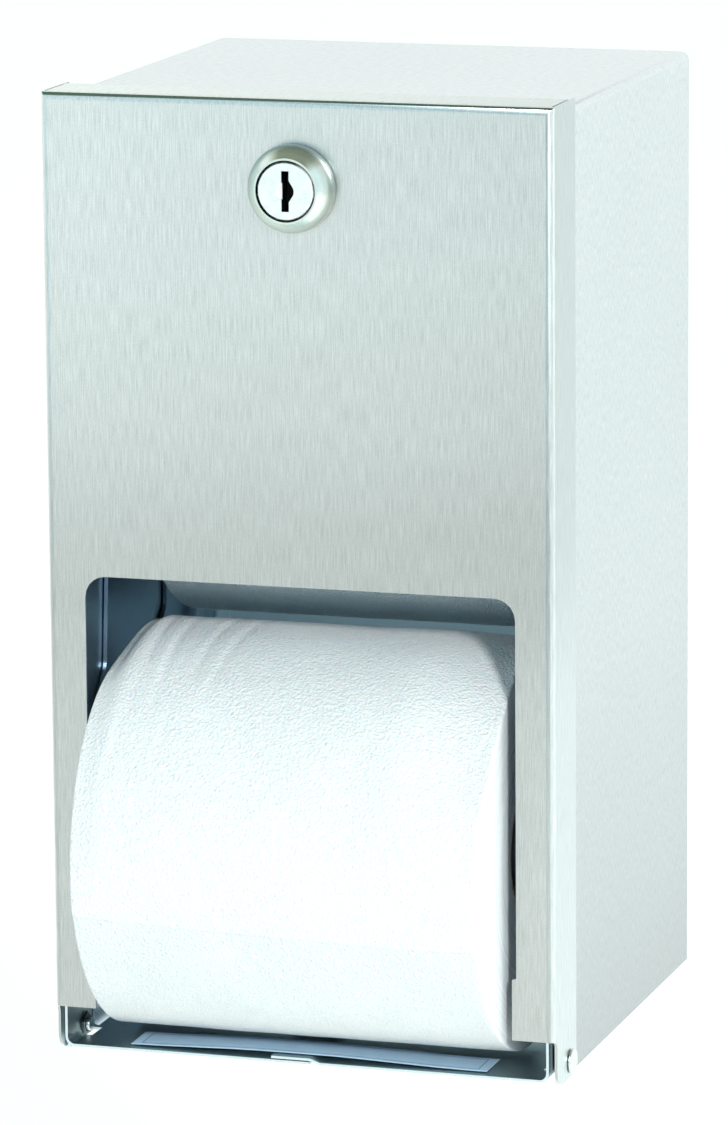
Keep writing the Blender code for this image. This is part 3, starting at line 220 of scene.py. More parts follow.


# tones of painted shade for the door's bend, its side flange and the tray's inside
edgeShade, sideShade, trayShade = (0.32, 0.45, 0.43), (0.70, 0.76, 0.78), (0.60, 0.65, 0.67)
doorSteelLook = {
    "dark": (0.655, 0.685, 0.65), "light": (0.96, 0.98, 0.945), "metallic": 1.0,
    "roughness": 0.33, "roughSpread": 0.03,
    # streaks per metre across and along the grain, the share of specks, and the grain's way on level faces
    "grainFine": 3000, "grainLong": 120, "grainSpan": (0.32, 0.68), "speckle": 0.3, "speckleScale": 0.9,
    "topGrain": "Y", "levelFrom": 0.7, "bump": 0.12, "bumpDepth": 0.00005,
    "cloud": 9, "cloudDark": 0.97,
    # painted light and shade by height, on faces that look along the axis given below
    "paintedLightBands": [
        (-0.142, 0.58), (-0.12, 0.60), (-0.09, 0.63), (-0.05, 0.63), (-0.003, 0.60), (0.021, 0.665),
        (0.05, 0.77), (0.09, 0.86), (0.12, 0.90), (0.145, 0.93),
    ],
    "paintedBandsFace": "Y", "paintedBandsSpan": (0.5, 0.9),
    # painted shade at the right edge against the left, growing over rightSpan in X and over the rise span in Z
    "rightPaintedShade": 0.84, "rightSpan": (-0.065, 0.065), "rightPaintedShadeRise": (-0.03, 0.02),
    # painted highlight, reflection and shade by how far the surface faces up and to the right
    "facing": {
        "Z": [(0.0, white), (0.45, white), (0.58, edgeShade), (0.84, edgeShade), (0.93, (0.93, 1, 1))],
        "X": [(0.03, white), (0.10, sideShade), (0.40, sideShade), (0.55, white), (0.9, (0.84, 0.91, 0.95))],
    },
}
cabinetSteelLook = dict(
    doorSteelLook, dark=(0.54, 0.61, 0.615), light=(0.88, 0.95, 0.955), topGrain="X", grainLong=420,
    paintedLightBands=[(-0.142, 0.64), (-0.10, 0.75), (-0.02, 0.885), (0.05, 0.92), (0.145, 0.97)], paintedBandsFace="X",
    rightPaintedShade=1.0, facing={},
)
# a darker copy of the cabinet steel for faces inside the box: painted shade
shadedInnerSteelLook = dict(cabinetSteelLook, dark=(0.35, 0.44, 0.50), light=(0.47, 0.58, 0.65), paintedLightBands=[])
# darker still on the track plates: painted shade
shadedTrackSteelLook = dict(shadedInnerSteelLook, dark=(0.26, 0.35, 0.44), light=(0.36, 0.46, 0.56))
# painted shade inside, bright along its rim
traySteelLook = dict(
    shadedInnerSteelLook, dark=(0.54, 0.63, 0.63), light=(0.68, 0.78, 0.78),
    facing={
        "Z": [(0.4, white), (0.8, trayShade)],
        "X": [(-0.8, trayShade), (-0.4, white), (0.4, white), (0.8, trayShade)],
    },
)
# the back plate's inner side, tinted pale blue as painted shade
shadeTintedBackSteelLook = dict(
    shadedInnerSteelLook, dark=(0.42, 0.60, 0.68), light=(0.46, 0.64, 0.72), roughness=0.62, metallic=0.12,
)
mechanismLook = dict(shadedInnerSteelLook, roughness=0.42, grainFine=900, grainLong=90)
nutLook = dict(mechanismLook, dark=(0.07, 0.09, 0.10), light=(0.16, 0.19, 0.20))
doorSteel = brushedSteel("doorSteel", doorSteelLook)
cabinetSteel = brushedSteel("cabinetSteel", cabinetSteelLook)
shadedInnerSteel = brushedSteel("shadedInnerSteel", shadedInnerSteelLook)
shadeTintedBackSteel = brushedSteel("shadeTintedBackSteel", shadeTintedBackSteelLook)
nutSteel = brushedSteel("nutSteel", nutLook)
shadedTrackSteel = brushedSteel("shadedTrackSteel", shadedTrackSteelLook)
traySteel = brushedSteel("traySteel", traySteelLook)
mechanismSteel = brushedSteel("mechanismSteel", mechanismLook)


def polishedMetal(name, look):
    made, nodes, links, shader = newMaterial(name, look["colour"], look["roughness"], 1.0)
    haze = noiseOn(nodes, links, (look["haze"],) * 3, 3.0, 0.6)
    dark = tuple(c * look["hazeDark"] for c in look["colour"])
    colour = ramp(nodes, links, haze, [(0.3, dark), (0.7, look["colour"])])
    if look["paintedContactShade"]:   # painted contact shadow: tone by distance from the lock's axis
        reach = nodes.new("ShaderNodeVectorMath")
        reach.operation = "LENGTH"
        links.new(objectSpot(nodes, links, (1, 0, 1), (0, 0, -place["lockZ"])), reach.inputs[0])
        far = look["paintedContactShade"][-1][0]
        shades = [tuple(tone * part for part in look["paintedContactShadeTint"]) for radius, tone in look["paintedContactShade"]]
        stops = [(radius / far, shade) for (radius, tone), shade in zip(look["paintedContactShade"], shades)]
        outward = spread(nodes, links, reach.outputs["Value"], 0.0, 1.0, 0.0, far)
        colour = tint(nodes, links, 1.0, colour, ramp(nodes, links, outward, stops))
    links.new(colour, shader.inputs["Base Color"])
    smoothest, dullest = (look["roughness"] * part for part in look["roughSpan"])
    links.new(spread(nodes, links, haze, smoothest, dullest), shader.inputs["Roughness"])
    return made


chromeLook = {
    "colour": (0.80, 0.84, 0.82), "roughness": 0.09, "roughSpan": (0.7, 1.5), "haze": 260, "hazeDark": 0.94,
    "paintedContactShade": [], "paintedContactShadeTint": (0.93, 1, 0.95),
}
plugLook = dict(chromeLook, colour=(0.92, 0.95, 0.94), roughness=0.30, haze=420)
bezelLook = dict(chromeLook, roughness=0.17, paintedContactShade=[(0.0, 1.0), (0.0106, 1.0), (0.0120, 0.74), (0.0128, 0.42)])
rivetLook = dict(chromeLook, roughness=0.24)
keywayLook = dict(chromeLook, colour=(0.02, 0.022, 0.02), roughness=0.5, hazeDark=0.5)
plugMetal = polishedMetal("plugMetal", plugLook)
bezelMetal = polishedMetal("bezelMetal", bezelLook)
rivetMetal = polishedMetal("rivetMetal", rivetLook)
keywayShade = polishedMetal("keywayShade", keywayLook)


# paper, card, plastic and sticker

def tissuePaper(name, look):
    made, nodes, links, shader = newMaterial(name, look["light"], look["roughness"])
    tone = noiseOn(nodes, links, (look["cloud"],) * 3, 4.0, 0.6)
    colour = ramp(nodes, links, tone, [(0.3, look["dark"]), (0.7, look["light"])])
    # painted shade on the ply below the sheet's free end
    plyShade = nodes.new("ShaderNodeAttribute")
    plyShade.attribute_name = "underPlyShade"
    colour = tint(nodes, links, plyShade.outputs["Fac"], colour, look["underPlyShade"])
    emboss = nodes.new("ShaderNodeTexVoronoi")
    emboss.inputs["Scale"].default_value = look["emboss"]
    links.new(objectSpot(nodes, links), emboss.inputs["Vector"])
    fibre = noiseOn(nodes, links, (look["fibre"],) * 3, 2.0, 0.5)
    pits = ramp(nodes, links, fibre, [(0.35, (look["pit"],) * 3), (0.60, white)])
    links.new(tint(nodes, links, 1.0, colour, pits), shader.inputs["Base Color"])
    wrinkle = noiseOn(nodes, links, (look["wrinkle"],) * 3, 2.0, 0.5)
    small = sums(nodes, links, "ADD", emboss.outputs["Distance"], fibre)
    height = sums(nodes, links, "ADD", small, sums(nodes, links, "MULTIPLY", wrinkle, look["wrinkleShare"]))
    bumpFrom(nodes, links, height, shader, look["bump"], look["bumpDepth"])
    shader.inputs["Sheen Weight"].default_value = look["sheen"]
    shader.inputs["Subsurface Weight"].default_value = look["glow"]
    shader.inputs["Subsurface Scale"].default_value = look["glowDepth"]
    shader.inputs["Specular IOR Level"].default_value = look["gloss"]
    return made


tissueLook = {
    "dark": (0.70, 0.725, 0.725), "light": (0.745, 0.77, 0.77), "underPlyShade": (0.94, 0.965, 0.96), "cloud": 38,
    # cells per metre of the embossing, fibres and wrinkles, and how deep they go
    "emboss": 1150, "fibre": 1650, "wrinkle": 300, "wrinkleShare": 0.7, "bump": 1.0, "bumpDepth": 0.00036,
    "pit": 0.95, "roughness": 0.95, "sheen": 0.15, "glow": 0.15, "glowDepth": 0.002, "gloss": 0.2,
}
tissue = tissuePaper("tissue", tissueLook)
# the reserve roll's tissue, tinted blue-grey as painted shade
shadeTintedReserveLook = dict(tissueLook, dark=(0.72, 0.82, 0.86), light=(0.77, 0.87, 0.91))
shadeTintedReserveTissue = tissuePaper("shadeTintedReserveTissue", shadeTintedReserveLook)


# the edges of the wound layers, as fine rings about the roll's own axis
def woundEdge(name, axisY, axisZ, look):
    made, nodes, links, shader = newMaterial(name, look["light"], look["roughness"])
    reach = nodes.new("ShaderNodeVectorMath")
    reach.operation = "LENGTH"
    links.new(objectSpot(nodes, links, (0, 1, 1), (0, -axisY, -axisZ)), reach.inputs[0])
    ring = nodes.new("ShaderNodeTexNoise")
    ring.noise_dimensions = "1D"
    ring.inputs["Detail"].default_value = 4.0
    ring.inputs["Scale"].default_value = 1.0
    links.new(sums(nodes, links, "MULTIPLY", reach.outputs["Value"], look["rings"]), ring.inputs["W"])
    fibre = noiseOn(nodes, links, (look["fibre"],) * 3, 3.0, 0.6)
    fibres = sums(nodes, links, "MULTIPLY", fibre, look["fibreShare"])
    both = sums(nodes, links, "ADD", ring.outputs["Fac"], fibres)
    colour = ramp(nodes, links, both, [(0.5, look["dark"]), (0.85, look["light"])])
    links.new(colour, shader.inputs["Base Color"])
    bumpFrom(nodes, links, both, shader, look["bump"], look["bumpDepth"])
    return made


woundLook = {
    "dark": (0.68, 0.72, 0.74), "light": (0.80, 0.83, 0.84), "roughness": 0.95,
    "rings": 900, "fibre": 700, "fibreShare": 0.4, "bump": 0.4, "bumpDepth": 0.0004,
}


# one tone with fine flecks, and roughSpan varies the roughness with them
def fleckedMaterial(name, look):
    made, nodes, links, shader = newMaterial(name, look["colour"], look["roughness"])
    fleck = noiseOn(nodes, links, (look["fleck"],) * 3, look["detail"], 0.6)
    if "roughSpan" in look:
        links.new(spread(nodes, links, fleck, *look["roughSpan"]), shader.inputs["Roughness"])
    colour = ramp(nodes, links, fleck, [(0.3, look["dark"]), (0.7, look["light"])])
    links.new(colour, shader.inputs["Base Color"])
    return made


cardLook = {
    "colour": (0.55, 0.44, 0.31), "dark": (0.44, 0.35, 0.24), "light": (0.62, 0.51, 0.37),
    "roughness": 0.9, "fleck": 500, "detail": 4.0,
}
plasticLook = {
    "colour": (0.10, 0.105, 0.11), "dark": (0.085, 0.09, 0.095), "light": (0.12, 0.125, 0.13),
    "roughness": 0.45, "roughSpan": (0.38, 0.55), "fleck": 700, "detail": 3.0,
}
cardboard = fleckedMaterial("cardboard", cardLook)
plastic = fleckedMaterial("spindlePlastic", plasticLook)


# a blank label: pale film with one thin rule inside its edge
def labelFilm(name, look):
    made, nodes, links, shader = newMaterial(name, look["light"], look["roughness"])
    haze = noiseOn(nodes, links, (look["haze"],) * 3, 3.0, 0.6)
    colour = ramp(nodes, links, haze, [(0.3, look["dark"]), (0.7, look["light"])])
    spot = nodes.new("ShaderNodeSeparateXYZ")
    links.new(objectSpot(nodes, links, (1, 1, 1), (0, -look["middleY"], 0)), spot.inputs["Vector"])
    overs = []
    for axis, half in (("X", look["ruleHalfX"]), ("Y", look["ruleHalfY"])):
        overs.append(sums(nodes, links, "SUBTRACT", sums(nodes, links, "ABSOLUTE", spot.outputs[axis]), half))
    away = sums(nodes, links, "ABSOLUTE", sums(nodes, links, "MAXIMUM", *overs))
    onRule = sums(nodes, links, "LESS_THAN", away, look["ruleWidth"] / 2)
    links.new(tint(nodes, links, onRule, colour, look["rule"]), shader.inputs["Base Color"])
    return made


labelLook = {
    "dark": (0.36, 0.50, 0.62), "light": (0.42, 0.57, 0.69), "roughness": 0.4, "haze": 90, "middleY": -0.14425,
    "rule": (0.30, 0.36, 0.55), "ruleHalfX": 0.0520, "ruleHalfY": 0.0052, "ruleWidth": 0.0004,
}
stickerFilm = labelFilm("stickerFilm", labelLook)
print("materials made")


# pieces that keep the CAD form: a merged, smooth copy with slightly eased edges

bodyOf = {node: body for body, nodes in frame["record"]["behaviour"]["bodies"].items() for node in nodes}


# how the copies are merged and their edges eased, with angles in degrees
edges = {
    "merge": 0.000002, "flatAngle": 0.5, "smoothAngle": 32, "easeWidth": 0.00012, "easeAngle": 50,
    "easeSteps": 2, "flatWeight": 90,
}


# a piece that rides in place of one node
def addPiece(name, bm, materials, node, smoothAngle=edges["smoothAngle"]):
    mesh = bpy.data.meshes.new(name)
    bm.to_mesh(mesh)
    bm.free()
    piece = bpy.data.objects.new(name, mesh)
    scene.collection.objects.link(piece)
    for finish in materials:
        mesh.materials.append(finish)
    mesh.shade_smooth()
    mesh.set_sharp_from_angle(angle=math.radians(smoothAngle))
    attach(piece, bodyOf[node])
    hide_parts(node)
    return piece


def mergedCopy(node):
    bm = bmesh.new()
    bm.from_mesh(frame["nodes"][node].data)
    bmesh.ops.remove_doubles(bm, verts=bm.verts, dist=edges["merge"])
    bmesh.ops.dissolve_limit(
        bm, angle_limit=math.radians(edges["flatAngle"]), use_dissolve_boundaries=False, verts=bm.verts,
        edges=bm.edges,
    )
    return bm


# a fine bevel, with the wide faces kept flat beside their bends
def easeEdges(piece, width=edges["easeWidth"]):
    ease = piece.modifiers.new("easedEdge", "BEVEL")
    ease.width = width
    ease.segments = edges["easeSteps"]
    ease.limit_method = "ANGLE"
    ease.angle_limit = math.radians(edges["easeAngle"])
    ease.harden_normals = True
    even = piece.modifiers.new("evenNormals", "WEIGHTED_NORMAL")
    even.weight = edges["flatWeight"]
    even.keep_sharp = True


finishes = [
    (traySteel, ["bottom_bracket_left", "bottom_bracket_right"]),
    (shadedTrackSteel, ["track_plate_left", "track_plate_right"]),
    (nutSteel, ["push_nut_left", "push_nut_right"]),
    (rivetMetal, ["pivot_rivet_left", "pivot_rivet_right"]),
    (mechanismSteel, [
        "lock_nut", "lock_cam", "cam_screw", "release_lever_left", "release_lever_right",
        "release_link_left", "release_link_right", "reserve_latch_left", "reserve_latch_right",
        "lever_rivet_left", "lever_rivet_right", "latch_rivet_left", "latch_rivet_right",
        "lower_axle", "upper_axle",
    ]),
    (plastic, ["lower_spindle", "upper_spindle"]),
    (cardboard, ["lower_core", "upper_core"]),
    (stickerFilm, ["tray_sticker"]),
]
blankedEase = {"track_plate_left": 0.00058, "track_plate_right": 0.00058}   # blanked edges, rolled round
for finish, nodeNames in finishes:
    for node in nodeNames:
        piece = addPiece(node + "Finished", mergedCopy(node), [finish], node)
        easeEdges(piece, blankedEase.get(node, edges["easeWidth"]))


# an inner face is out by a wall, turned toward the middle and clear of the piece's own box
sheet = {"sideFrom": 0.06, "topFrom": 0.10, "turned": 0.5, "facing": 0.7, "clear": 0.0006}


# the bent sheets are bright outside and painted darker inside as shade, and inwardY is the way that their
# inner side faces
def dressSheet(node, outside, inside, inwardY, clear=sheet["clear"]):
    bm = mergedCopy(node)
    low = [min(vert.co[i] for vert in bm.verts) for i in range(3)]
    high = [max(vert.co[i] for vert in bm.verts) for i in range(3)]
    for face in bm.faces:
        middle, normal = face.calc_center_median(), face.normal
        sideIn = abs(middle.x) > sheet["sideFrom"] and normal.x * middle.x < -sheet["turned"] * abs(middle.x)
        topIn = abs(middle.z) > sheet["topFrom"] and normal.z * middle.z < -sheet["turned"] * abs(middle.z)
        inward = sideIn or topIn or normal.y * inwardY > sheet["facing"]
        room = min(min(middle[i] - low[i], high[i] - middle[i]) for i in range(3))
        face.material_index = 1 if inward and room > clear else 0
    easeEdges(addPiece(node + "Finished", bm, [outside, inside], node))


dressSheet("door_panel", doorSteel, shadedInnerSteel, 1)
dressSheet("cabinet_shell", cabinetSteel, shadedInnerSteel, -1)
dressSheet("back_plate", cabinetSteel, shadeTintedBackSteel, -1, clear=-1)   # its inner side is its box's own front
print("steel pieces dressed")


# cylinder lock

bezel = {
    "barrel": 0.0094, "outside": 0.0128, "face": 0.0100, "bore": 0.0089, "shankBore": 0.0061,
    "height": 0.0080, "skirt": 0.0019, "lip": 0.0005, "headRoom": 0.0063, "rear": 0.0089, "swell": 0.0009,
    "seat": 0.0003, "footRound": 0.0002, "footRise": 0.0006, "boreSlack": 0.00005,
    "domeSteps": 14, "steps": 96,
}
# the keyway's walls lie within this distance of the axis, and this far below the bezel's top
keyway = {"reach": 0.0070, "depth": (0.0009, 0.0055)}
mergeTurned = 0.000001


# a closed section spun right round an axis through the origin
def spinSection(points, axis, steps):
    bm = bmesh.new()
    verts = [bm.verts.new(point) for point in points]
    outline = [bm.edges.new(pair) for pair in zip(verts, verts[1:] + verts[:1])]
    bmesh.ops.spin(
        bm, geom=verts + outline, cent=(0, 0, 0), axis=axis, angle=math.tau, steps=steps, use_merge=True,
    )
    bmesh.ops.remove_doubles(bm, verts=bm.verts, dist=mergeTurned)
    return bm


def lockReach(middle):
    return math.hypot(middle.x, middle.z - place["lockZ"])


# the lock's body, turned from its section, with the gap round the plug painted dark as shade
def turnBezel():
    rise = bezel["height"] - bezel["skirt"] - bezel["lip"]
    section = [
        (-bezel["seat"], bezel["barrel"]), (-bezel["seat"], bezel["outside"] - bezel["footRound"]),
        (-bezel["footRise"], bezel["outside"]),
    ]
    for i in range(bezel["domeSteps"] + 1):
        t = i / bezel["domeSteps"]
        out = bezel["outside"] - (bezel["outside"] - bezel["face"]) * t
        section.append((-bezel["skirt"] - rise * t, out + bezel["swell"] * math.sin(math.pi * t)))
    shoulder = bezel["headRoom"] - bezel["height"]
    section += [
        (-bezel["height"], bezel["face"] - bezel["lip"]), (-bezel["height"], bezel["bore"]),
        (shoulder, bezel["bore"]), (shoulder, bezel["shankBore"]),
        (bezel["rear"] - bezel["seat"], bezel["shankBore"]), (bezel["rear"] - bezel["seat"], bezel["barrel"]),
    ]
    points = [(radius, place["frontY"] + depth, 0) for depth, radius in section]
    bm = spinSection(points, ahead, bezel["steps"])
    bmesh.ops.recalc_face_normals(bm, faces=bm.faces)
    bmesh.ops.translate(bm, verts=bm.verts, vec=(0, 0, place["lockZ"]))
    for face in bm.faces:
        inBore = lockReach(face.calc_center_median()) < bezel["bore"] + bezel["boreSlack"]
        face.material_index = 1 if inBore else 0
    addPiece("lockBezel", bm, [bezelMetal, keywayShade], "lock_body")


def dressPlug():
    bm = mergedCopy("lock_plug")
    shallow, deep = keyway["depth"]
    for face in bm.faces:
        middle = face.calc_center_median()
        down = middle.y - place["frontY"] + bezel["height"]
        inSlot = lockReach(middle) < keyway["reach"] and shallow < down < deep
        # faces in the keyway slot get the painted shade
        face.material_index = 1 if inSlot else 0
    easeEdges(addPiece("lockPlug", bm, [plugMetal, keywayShade], "lock_plug"))


turnBezel()
dressPlug()
print("lock turned")


# paper rolls

lowerRoll = {
    "steps": 240, "rows": 150, "rings": 8, "radius": 0.0615, "half": 0.0610, "core": 0.0216, "edge": 0.0007,
    "ripple": 0.00016, "fray": 0.0003, "frayScale": 300, "leftTrim": 0.0, "smoothAngle": 50,
    # radius by angle: 0 at the front, 90 on top, 180 behind
    "leftEnd": [(-180, .0615), (-60, .0615), (-15, .0613), (-5, .0606), (5, .0598), (15, .0590), (25, .0586),
                (35, .0584), (50, .0575), (60, .0567), (70, .0552), (80, .0548), (90, .0562), (100, .0588),
                (110, .0610), (120, .0615), (180, .0615)],
    "middle": [(-180, .0615), (-30, .0615), (-15, .0613), (0, .0608), (30, .0603), (60, .0606), (80, .0613),
               (95, .0616), (110, .0616), (125, .0615), (180, .0615)],
    "rightEnd": [(-180, .0615), (-46, .0615), (-34, .0612), (-23, .0609), (-13, .0603), (-3, .0598),
                 (6, .0592), (16, .0577), (25, .0556), (37, .0535), (50, .0528), (63, .0540), (75, .0562),
                 (90, .0595), (100, .0610), (115, .0615), (180, .0615)],
    "leftReach": 0.009, "rightReach": 0.030,
    # the free end of the sheet: its angle by place along the roll
    "sheetEnd": [(-0.061, -15.0), (-0.020, -16.4), (0.010, -17.3), (0.040, -17.9), (0.061, -18.1)],
    "sheetStep": 0.00042, "seamRow": -11, "seamReach": 26, "crisp": 0.12, "tear": 0.25, "tearScale": 420,
    # below the free end, the angles where the paper grows thin again and where the painted shade on the ply
    # beneath fades
    "thinFrom": -175, "thinOver": 80, "plyShadeFrom": -75, "plyShadeOver": 25,
    # soft folds near the left end: (x, angle) to (x, angle), depth, width
    "folds": [
        ((-0.0560, 98), (-0.0585, 58), 0.00040, 0.0011), ((-0.0500, 102), (-0.0478, 58), 0.00045, 0.0012),
        ((-0.0425, 103), (-0.0415, 46), 0.00050, 0.0013), ((-0.0300, 103), (-0.0325, 58), 0.00045, 0.0012),
        ((-0.0210, 103), (-0.0270, 48), 0.00040, 0.0014), ((-0.0480, 60), (-0.0520, 20), 0.00020, 0.0016),
        ((-0.0360, 50), (-0.0380, 22), 0.00015, 0.0016),
    ],
}
upperRoll = dict(
    lowerRoll, leftEnd=[(-180, .0647), (180, .0647)], middle=[(-180, .0647), (180, .0647)],
    rightEnd=[(-180, .0647), (180, .0647)], leftTrim=0.0030, sheetStep=0.0, folds=[], ripple=0.0001,
)


# radius for each whole degree from -180 to 180, rounded off between the rows
def smoothTable(rows, blur=4.0, margin=20):
    degrees = np.arange(-180 - margin, 181 + margin)
    angles, radii = zip(*rows)
    raw = np.interp((degrees + 180) % 360 - 180, angles, radii)
    bell = np.exp(-0.5 * (np.arange(-12, 13) / blur) ** 2)
    return np.convolve(raw, bell / bell.sum(), "same")[margin:-margin]


def smoothStep(t):
    t = min(1.0, max(0.0, t))
    return t * t * (3 - 2 * t)


# across a fold: a groove with a low swell beside it; along it: how it fades out at both ends
foldShape = {"swell": 0.45, "swellAt": 1.7, "reach": 5, "fade": 0.7}


def foldDepth(roll, x, angle):
    total = 0.0
    for (startX, startAngle), (endX, endAngle), depth, width in roll["folds"]:
        t = (angle - startAngle) / (endAngle - startAngle)
        if 0 < t < 1:
            d = (x - startX - (endX - startX) * t) / width
            if abs(d) < foldShape["reach"]:
                across = math.exp(-d * d) - foldShape["swell"] * math.exp(-(d + foldShape["swellAt"]) ** 2)
                total += depth * math.sin(math.pi * t) ** foldShape["fade"] * across
    return total


# the section of a roll: up its left end, round the edge, along the paper and down the right end
def rollSection(roll):
    half, edge, radius, core = (roll[key] for key in ("half", "edge", "radius", "core"))
    rows, rings = roll["rows"], roll["rings"]
    leftEnd = [(-half, core + (radius - edge - core) * i / rings) for i in range(rings + 1)]
    for i in range(1, 5):
        a = math.pi * i / 8
        leftEnd.append((-half + edge * (1 - math.cos(a)), radius - edge * (1 - math.sin(a))))
    paper = [(-half + edge + (half - edge) * 2 * i / rows, radius) for i in range(1, rows)]
    return leftEnd + paper + [(-x, r) for x, r in reversed(leftEnd)]


def ripple(x, y, z):
    broad = noise.noise(Vector((x * 22, y * 30, z * 30)))
    small = noise.noise(Vector((x * 70, y * 90, z * 90)))
    return broad * 2 + small - 2


def windRoll(name, roll, axisY, axisZ, node, papers):
    half, edge, radius, core = (roll[key] for key in ("half", "edge", "radius", "core"))
    bm = spinSection([(x, 0, r) for x, r in rollSection(roll)], sideways, roll["steps"])
    tables = [smoothTable(roll[key]) for key in ("leftEnd", "middle", "rightEnd")]
    plyShade = bm.verts.layers.float.new("underPlyShade")
    step = 360 / roll["steps"]
    seam = roll["seamRow"] * step   # the ring of points that becomes the sheet's free end
    endX, endAngle = zip(*roll["sheetEnd"])
    for vert in bm.verts:
        x, y, z = vert.co
        far = math.hypot(y, z)
        angle = math.degrees(math.atan2(z, -y))
        share = max(0.0, (far - core) / (radius - core))
        under = 0.0
        if roll["sheetStep"] and -179 < angle < seam - step / 2:
            under = smoothStep((angle - roll["thinFrom"]) / roll["thinOver"])
            # painted shade on the ply below the free end
            vert[plyShade] = smoothStep((angle - roll["plyShadeFrom"]) / roll["plyShadeOver"])
            if angle > seam - step * 1.5:
                angle = seam - roll["crisp"]   # a crisp step from one layer to the next
        torn = roll["tear"] * noise.noise(Vector((x * roll["tearScale"], 3.1, 0.7)))
        toSeam = smoothStep(1 - abs(angle - seam) / roll["seamReach"])
        angle += (float(np.interp(x, endX, endAngle)) - seam + torn) * toSeam
        at = int(min(359, max(0, math.floor(angle + 180))))
        part = angle + 180 - at
        left, middle, right = (table[at] * (1 - part) + table[at + 1] * part for table in tables)
        shaped = middle + (left - middle) * smoothStep((-x - half + roll["leftReach"]) / roll["leftReach"])
        shaped += (right - middle) * smoothStep((x - half + roll["rightReach"]) / roll["rightReach"])
        push = shaped - radius + roll["ripple"] * ripple(x, y, z) - foldDepth(roll, x, angle)
        push -= roll["sheetStep"] * under
        far += push * share
        turned = math.radians(angle)
        frayed = noise.noise(Vector((far * roll["frayScale"], turned, x))) - 0.5
        frayed = roll["fray"] * frayed * min(1, share * 3)
        x += -frayed if x > half - edge else frayed if x < edge - half else 0   # only the cut ends
        x += roll["leftTrim"] * (half - x) / (2 * half)
        vert.co = (x, -far * math.cos(turned), far * math.sin(turned))
    bmesh.ops.recalc_face_normals(bm, faces=bm.faces)
    for face in bm.faces:
        face.material_index = 1 if abs(face.normal.x) > 0.8 else 0
    bmesh.ops.translate(bm, verts=bm.verts, vec=(0, axisY, axisZ))
    addPiece(name, bm, papers, node, roll["smoothAngle"])


lowerY, lowerZ = place["lowerRollY"], place["lowerRollZ"]
upperY, upperZ = place["upperRollY"], place["upperRollZ"]
lowerPapers = [tissue, woundEdge("lowerWoundEdge", lowerY, lowerZ, woundLook)]
windRoll("lowerPaper", lowerRoll, lowerY, lowerZ, "lower_roll", lowerPapers)
upperPapers = [shadeTintedReserveTissue, woundEdge("upperWoundEdge", upperY, upperZ, woundLook)]
windRoll("upperPaper", upperRoll, upperY, upperZ, "upper_roll", upperPapers)
print("rolls wound")


# camera, floor and light

camera = {
    "spot": (0.57521, -1.91083, 0.38139), "lens": 322.4, "sensor": 36.0, "clipEnd": 50,
    "right": (0.95388, 0.30009, -0.00759), "up": (-0.05202, 0.19013, 0.98038),
    "ahead": (-0.29565, 0.93477, -0.19697),
}
cameraData = bpy.data.cameras.new("camera")
cameraData.sensor_fit = "HORIZONTAL"
cameraData.sensor_width = camera["sensor"]
cameraData.lens = camera["lens"]
cameraData.clip_end = camera["clipEnd"]
cameraObject = bpy.data.objects.new("camera", cameraData)
scene.collection.objects.link(cameraObject)
turn = Matrix((camera["right"], camera["up"], [-a for a in camera["ahead"]])).transposed()
cameraObject.matrix_world = Matrix.Translation(camera["spot"]) @ turn.to_4x4()
scene.camera = cameraObject

studio = {
    "floorColour": (0.93, 0.93, 0.93), "floorRoughness": 0.8, "floorGlow": 0.35, "floorDrop": 0.25,
    "floorSize": 6,
    # strength and colour of the sky in front, behind, on the right and overhead, and where each takes over
    "skyFrontColour": (0.70, 1.0, 1.14), "skyFront": 0.84,
    "skyBackColour": (0.985, 1.0, 0.995), "skyBack": 1.12, "backSpan": (-0.85, 0.1),
    "skyRight": 1.04, "rightSpan": (0.35, 0.75),
    "zenith": 0.30, "zenithColour": (0.92, 1.0, 0.78), "zenithSpan": (0.62, 0.86),
}
floorMaterial, _, _, shader = newMaterial("paleFloor", studio["floorColour"], studio["floorRoughness"])
shader.inputs["Emission Color"].default_value = (1, 1, 1, 1)
shader.inputs["Emission Strength"].default_value = studio["floorGlow"]
bm = bmesh.new()
bmesh.ops.create_grid(bm, x_segments=2, y_segments=2, size=studio["floorSize"])
bmesh.ops.translate(bm, verts=bm.verts, vec=(0, 0, cadLow.z - studio["floorDrop"]))
floorMesh = bpy.data.meshes.new("floor")
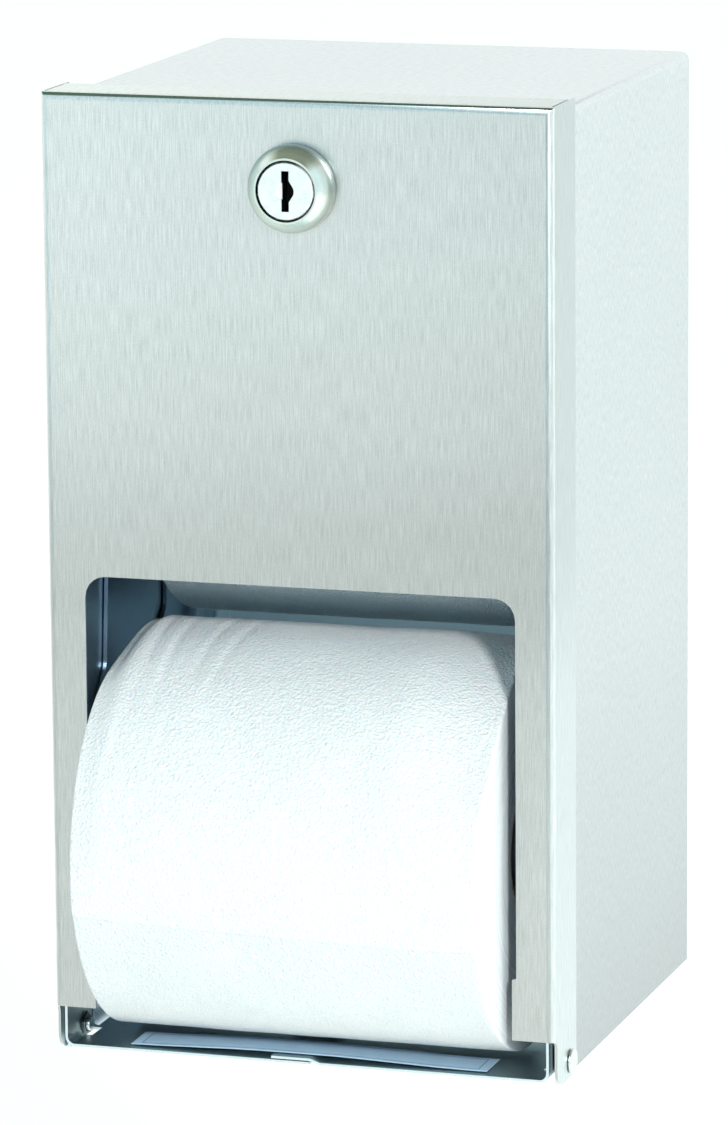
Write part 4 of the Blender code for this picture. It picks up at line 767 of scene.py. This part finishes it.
bm.to_mesh(floorMesh)
bm.free()
floor = bpy.data.objects.new("floor", floorMesh)
floor.data.materials.append(floorMaterial)
scene.collection.objects.link(floor)

# the studio is bright behind and beside the object and dim overhead and behind the camera
world = bpy.data.worlds.new("studio")
world.use_nodes = True
nodes, links = world.node_tree.nodes, world.node_tree.links
direction = nodes.new("ShaderNodeTexCoord")
parts = nodes.new("ShaderNodeSeparateXYZ")
links.new(direction.outputs["Generated"], parts.inputs["Vector"])
rightward, backward, upward = (parts.outputs[axis] for axis in "XYZ")
behindLight = spread(nodes, links, backward, studio["skyFront"], studio["skyBack"], *studio["backSpan"])
overheadLight = spread(nodes, links, upward, 1.0, studio["zenith"], *studio["zenithSpan"])
rightLight = spread(nodes, links, rightward, 1.0, studio["skyRight"], *studio["rightSpan"])
around = sums(nodes, links, "MULTIPLY", behindLight, rightLight)
links.new(sums(nodes, links, "MULTIPLY", around, overheadLight), nodes["Background"].inputs["Strength"])
behind = spread(nodes, links, backward, 0.0, 1.0, *studio["backSpan"])
skyTint = tint(nodes, links, behind, studio["skyFrontColour"], studio["skyBackColour"], "MIX")
above = spread(nodes, links, upward, 0.0, 1.0, *studio["zenithSpan"])
skyTint = tint(nodes, links, above, skyTint, studio["zenithColour"], "MIX")
links.new(skyTint, nodes["Background"].inputs["Color"])
scene.world = world
scene.view_settings.view_transform = "Standard"

lights = {
    "keySoftbox": {"spot": (1.20, -1.90, 0.88), "size": 0.26, "power": 39, "aim": (0, -0.12, 0)},
    "sideSoftbox": {"spot": (2.2, 0.90, 0.25), "size": 1.1, "power": 5, "aim": (0, -0.08, 0)},
}
for name, light in lights.items():
    data = bpy.data.lights.new(name, "AREA")
    data.size = light["size"]
    data.energy = light["power"]
    lamp = bpy.data.objects.new(name, data)
    lamp.location = light["spot"]
    lamp.rotation_mode = "QUATERNION"
    lamp.rotation_quaternion = (Vector(light["aim"]) - Vector(light["spot"])).to_track_quat("-Z", "Y")
    scene.collection.objects.link(lamp)
print("studio set")
